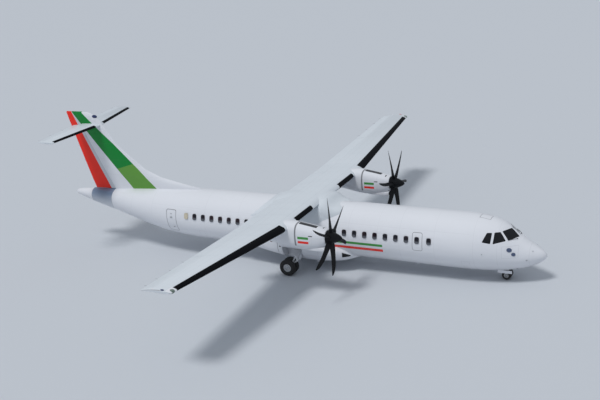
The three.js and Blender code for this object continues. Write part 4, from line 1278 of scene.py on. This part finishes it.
print("small fittings")
nose = {
    # aft, up, half length, half height
    "sensorPlates": ((1.558, 0.09, 0.125, 0.1), (1.367, -0.123, 0.1, 0.085)),
    "spots": ((0.57, -0.075), (2.774, -0.108)),
    "probes": ((0.81, -0.46), (1.3, -1.0)),
}
for side, name in bothSides:
    plates = [skinPlate(side, aft, up, ellipse(long, high)) for aft, up, long, high in nose["sensorPlates"]]
    makePiece(f"sensor_plates_{name}", joined(*plates), "sensor")
    spots = [skinPlate(side, aft, up, ellipse(0.025, 0.02, 16), 0.006, 0.003) for aft, up in nose["spots"]]
    makePiece(f"nose_spots_{name}", joined(*spots), "steel")
    probes = []
    for aft, up in nose["probes"]:
        spot, normal = hullSpot(side, aft, up)
        elbow = spot + normal * 0.085
        path = [spot - normal * 0.01, elbow, elbow + Vector((side * 0.01, -0.03, 0)),
                elbow + Vector((side * 0.01, -0.15, 0))]
        probes += [tube(path, [0.016, 0.012, 0.011, 0.006], 12),
                   skinPlate(side, aft, up, ellipse(0.045, 0.03, 20))]
    makePiece(f"pitot_probes_{name}", joined(*probes), "steel")

# Wipers at rest on the foot of the two front panes: its ends, and the ways out of it and down it
wiper = [(0.114, 1.25, 0.515), (0.771, 1.638, 0.49), (0.347, -0.64, 0.686), (0.28, -0.56, -0.66)]
for side, name in bothSides:
    inner, outer, out, down = [Vector((side * x, y, z)) for x, y, z in wiper]
    down.normalize()
    pivot = inner.lerp(outer, 0.3) + down * 0.07 + out * 0.01
    tip = inner.lerp(outer, 0.82) + down * 0.01 + out * 0.028
    path = [pivot, pivot + out * 0.03, pivot.lerp(tip, 0.5) + out * 0.03, tip]
    arm = tube(path, [0.011, 0.01, 0.008, 0.006], 10)
    head = turned([(-0.03, 0.018), (0.02, 0.018), (0.03, 0.012)], pivot, out, 18)
    makePiece(f"wiper_arm_{name}", arm, "dark")
    rubber = tube([inner.lerp(outer, 0.5) + out * 0.02, inner.lerp(outer, 1.0) + out * 0.02], 0.009, 8)
    makePiece(f"wiper_blade_{name}", joined(head, rubber), "rubber")

# Lights at the wing tips, on the fin and under the belly, each as its middle and three half lengths
lamps = {
    "tip_light_cover": ((13.32, 12.157, 2.0732), (0.165, 0.15, 0.09)),
    "tip_lamp": ((13.47, 12.49, 2.16), (0.04, 0.1, 0.04)),
    "tip_rear_lamp": ((13.44, 12.98, 2.135), (0.04, 0.09, 0.03)),
    "fin_lamp": ((0, 25.27, 5.19), (0.085, 0.19, 0.1)),
    "belly_beacon": ((0, 8.4, hullShape(8.4)[2] - 0.02), (0.06, 0.09, 0.06)),
}
for side, name in bothSides:
    colours = ("tipGlass", "redLens" if side > 0 else "blueLens", "clearLens")
    for lamp, paint in zip(("tip_light_cover", "tip_lamp", "tip_rear_lamp"), colours):
        (x, y, z), size = lamps[lamp]
        makePiece(f"{lamp}_{name}", bead((side * x, y, z), size), paint)
makePiece("fin_lamp", bead(*lamps["fin_lamp"]), "blueLens")
makePiece("belly_beacon", bead(*lamps["belly_beacon"]), "redLens")

# Static wicks along the trailing edges: places across on the ailerons and elevators, heights on the rudder
wickPlaces = {"aileron": (9.9, 11.0, 12.1, 12.95), "elevator": (1.3, 2.4, 3.35), "rudder": (2.6, 3.45, 4.2)}


def makeWicks(name, spots, body):
    rods = []
    for spot in spots:
        path = [spot + Vector((0, -0.02, 0)), spot + Vector((0, 0.03, 0)), spot + Vector((0, 0.13, -0.004))]
        rods.append(tube(path, [0.006, 0.004, 0.0025], 6))
    makePiece(name, joined(*rods), "dark", body)


for side, name in bothSides:
    spots = [wingPoint(side * x, 1, 0) for x in wickPlaces["aileron"]]
    makeWicks(f"aileron_wicks_{name}", spots, bodyOf(f"aileron_{name}"))
    sweep = 0.1 / tail["half"]
    spots = [Vector((side * x, 26.55 - sweep * x, tail["height"])) for x in wickPlaces["elevator"]]
    makeWicks(f"elevator_wicks_{name}", spots, bodyOf(f"elevator_{name}"))
spots = [Vector((0, 26.57 + (up - 3.45) * 0.31, up)) for up in wickPlaces["rudder"]]
makeWicks("rudder_wicks", spots, bodyOf("rudder"))

# Fairings over the flap tracks: one part stays under the wing and one moves with the flap
tracks = {"inner": (2.3,), "outer": (5.6, 8.2), "fixed": (0.4, 0.69, 0.055), "moving": (0.79, 0.97, 0.04)}


def trackFairing(across, start, end, width):
    # between two shares of the chord
    rings = []
    for i in range(13):
        share = i / 12
        middle = wingPoint(across, start + (end - start) * share, -1) + Vector((0, 0, 0.02))
        size = max(0.12, math.sin(math.pi * min(0.96, max(0.05, share)))) ** 0.55 * width
        rings.append([middle + Vector((size * cos, 0, size * 1.35 * sin)) for cos, sin in circle(18)])
    return loft(rings)


for side, name in bothSides:
    fixed = [trackFairing(side * x, *tracks["fixed"]) for x in tracks["inner"] + tracks["outer"]]
    makePiece(f"track_fairings_{name}", joined(*fixed), "control")
    for flap in ("inner", "outer"):
        moving = joined(*[trackFairing(side * x, *tracks["moving"]) for x in tracks[flap]])
        body = bodyOf(f"flap_{flap}_{name}")
        makePiece(f"track_fairings_{flap}_{name}", moving, "control", body)

# Engine exhausts under the tails of the nacelles
exhaust = {
    "profile": [(-0.05, 0.12), (0.16, 0.135), (0.2, 0.137), (0.2, 0.125), (0.03, 0.11)],
    "centre": (4.0, 12.35, 0.81),
    "aim": (0.06, 0.85, -0.42),
}
for side, name in bothSides:
    centre, aim = [(side * exhaust[key][0], *exhaust[key][1:]) for key in ("centre", "aim")]
    makePiece(f"exhaust_{name}", turned(exhaust["profile"], centre, aim), "heat")


def aerial(aft, length, height):
    # a swept blade aerial under the belly
    spot = hullPoint(-math.pi / 2, aft)
    rings = []
    for share in (-0.1, 0, 0.4, 0.8, 1):
        size = length * (1 - 0.4 * max(0, share)) / 2
        rise = Vector((0, height * 0.5 * share, -height * share))
        rings.append([spot + rise + Vector((0.012 * sin, size * cos, 0)) for cos, sin in circle(18)])
    return loft(rings)


def patchOn(piece, rows, rise, depth=0.01):
    # a thin plate that follows the surface of a piece, from rows of points close to it
    mesh = piece.data
    surface = BVHTree.FromPolygons([v.co for v in mesh.vertices], [face.vertices for face in mesh.polygons])
    rings = []
    for row in rows:
        spots = [surface.find_nearest(airframe @ Vector(point))[:2] for point in row]
        above = [airframeBack @ (spot + normal * rise) for spot, normal in spots]
        below = [airframeBack @ (spot - normal * depth) for spot, normal in spots]
        rings.append([*above, *reversed(below)])
    return loft(rings)


# Air inlets low on the shoulders of the belly fairing, pointed at the front, and an outlet near its tail,
# drawn as near-black patches on the skin: painted shade of the openings
inlet = {
    "tip": (1.115, 9.66, -1.0),
    "tail": (1.384, 10.02, -0.9),
    "tipHalf": 0.012,
    "tailHalf": 0.125,
    "outlet": (1.72, 13.28, -0.64),
    "outletHalf": 0.03,
}
inletRows = []
for i in range(13):
    middle = Vector(inlet["tip"]).lerp(Vector(inlet["tail"]), i / 12)
    half = inlet["tipHalf"] + (inlet["tailHalf"] - inlet["tipHalf"]) * (i / 12) ** 0.8
    inletRows.append([middle + Vector((0, 0, half * k / 4)) for k in range(-4, 5)])
outletRows = []
for i in range(9):
    half = inlet["outletHalf"] * math.sin(math.pi * (0.1 + 0.1 * i))
    middle = Vector(inlet["outlet"]) + Vector((0, 0.014 * i, 0))
    outletRows.append([middle + Vector((0, 0, half * k)) for k in (-1, 0, 1)])
openings = joined(patchOn(belly, inletRows, 0.006), patchOn(belly, outletRows, 0.006))
makePiece("belly_inlet_shade_patches", joined(openings, mirrored(openings)), "paintedShadeBlack")

aerialRows = ((6.4, 0.2, 0.18), (15.8, 0.22, 0.2), (17.6, 0.16, 0.12))  # aft, length, height
makePiece("aerials", joined(*[aerial(*row) for row in aerialRows]), "white")

# Door handles and small plates, on the door's own body: side, then aft, up, half length and half height
doorFurniture = {
    "service_door": (
        -1, ((20.05, 0.4, 0.035, 0.02), (20.05, 0.2, 0.07, 0.03), (19.95, -0.35, 0.05, 0.022)),
    ),
    "passenger_door": (
        1, ((20.1, 0.75, 0.04, 0.022), (19.88, 0.3, 0.09, 0.035), (20.25, -0.45, 0.05, 0.022)),
    ),
    "cargo_door": (
        1, ((4.2, -0.5, 0.09, 0.035), (3.75, -0.5, 0.04, 0.022), (4.65, -0.5, 0.04, 0.022)),
    ),
}
for door, (side, marks) in doorFurniture.items():
    plates = []
    for aft, up, long, high in marks:
        outline = roundedOutline(long * 2, high * 2, high * 0.8)
        plates.append(skinPlate(side, aft, up, outline, 0.005, 0.002))
    makePiece(f"{door}_handle", joined(*plates), "steel", bodyOf(door))

print("stage")
studio = {
    "cameraSpot": (-47.58, -26.142, 21.756),
    "cameraTarget": (0, -0.752, 3.277),
    "cameraUp": (0.3322, 0.0624, 0.9411),
    "lens": 66.18,
    "floorHalf": 400,
    "floorColour": (0.62, 0.65, 0.69),
    "skyColour": (0.86, 0.92, 1),
    "horizonColour": (0.66, 0.72, 0.84),
    "skyStrength": 0.46,
    "sunStrength": 1.47,
    "sunFrom": (-0.42, 0.15, 0.9),
    "sunSize": 14,
}


def makeFloor():
    half = studio["floorHalf"]
    corners = [(-half, -half, 0), (half, -half, 0), (half, half, 0), (-half, half, 0)]
    mesh = bpy.data.meshes.new("floor")
    mesh.from_pydata(corners, [], [(0, 1, 2, 3)])
    floor = newObject("floor", mesh)
    paint = Paint("pale_floor")
    paint.shader.inputs["Base Color"].default_value = (*studio["floorColour"], 1)
    paint.shader.inputs["Roughness"].default_value = 0.9
    mesh.materials.append(paint.material)


def makeLights():
    world = bpy.data.worlds.new("studio")
    world.use_nodes = True
    tree = world.node_tree
    direction = tree.nodes.new("ShaderNodeTexCoord")
    separate = tree.nodes.new("ShaderNodeSeparateXYZ")
    tree.links.new(direction.outputs["Generated"], separate.inputs[0])
    height = Field(tree, separate.outputs[2]).step("MULTIPLY", 1.6, clamp=True)
    background = tree.nodes["Background"]
    sky = blended(tree, studio["horizonColour"], studio["skyColour"], height)
    tree.links.new(sky, background.inputs["Color"])
    background.inputs["Strength"].default_value = studio["skyStrength"]
    bpy.context.scene.world = world
    light = bpy.data.lights.new("key", "SUN")
    light.energy = studio["sunStrength"]
    light.angle = math.radians(studio["sunSize"])
    key = newObject("key", light)
    key.rotation_mode = "QUATERNION"
    key.rotation_quaternion = Vector(studio["sunFrom"]).to_track_quat("Z", "Y")
    key.visible_glossy = False


def makeCamera():
    data = bpy.data.cameras.new("camera")
    data.lens = studio["lens"]
    data.sensor_width = 36
    data.clip_end = 1000
    camera = newObject("camera", data)
    spot = Vector(studio["cameraSpot"])
    back = (spot - Vector(studio["cameraTarget"])).normalized()
    right = Vector(studio["cameraUp"]).cross(back).normalized()
    up = back.cross(right)
    camera.matrix_world = Matrix((
        (right.x, up.x, back.x, spot.x),
        (right.y, up.y, back.y, spot.y),
        (right.z, up.z, back.z, spot.z),
        (0, 0, 0, 1),
    ))
    bpy.context.scene.camera = camera
    bpy.context.scene.view_settings.view_transform = "Standard"


makeFloor()
makeLights()
makeCamera()
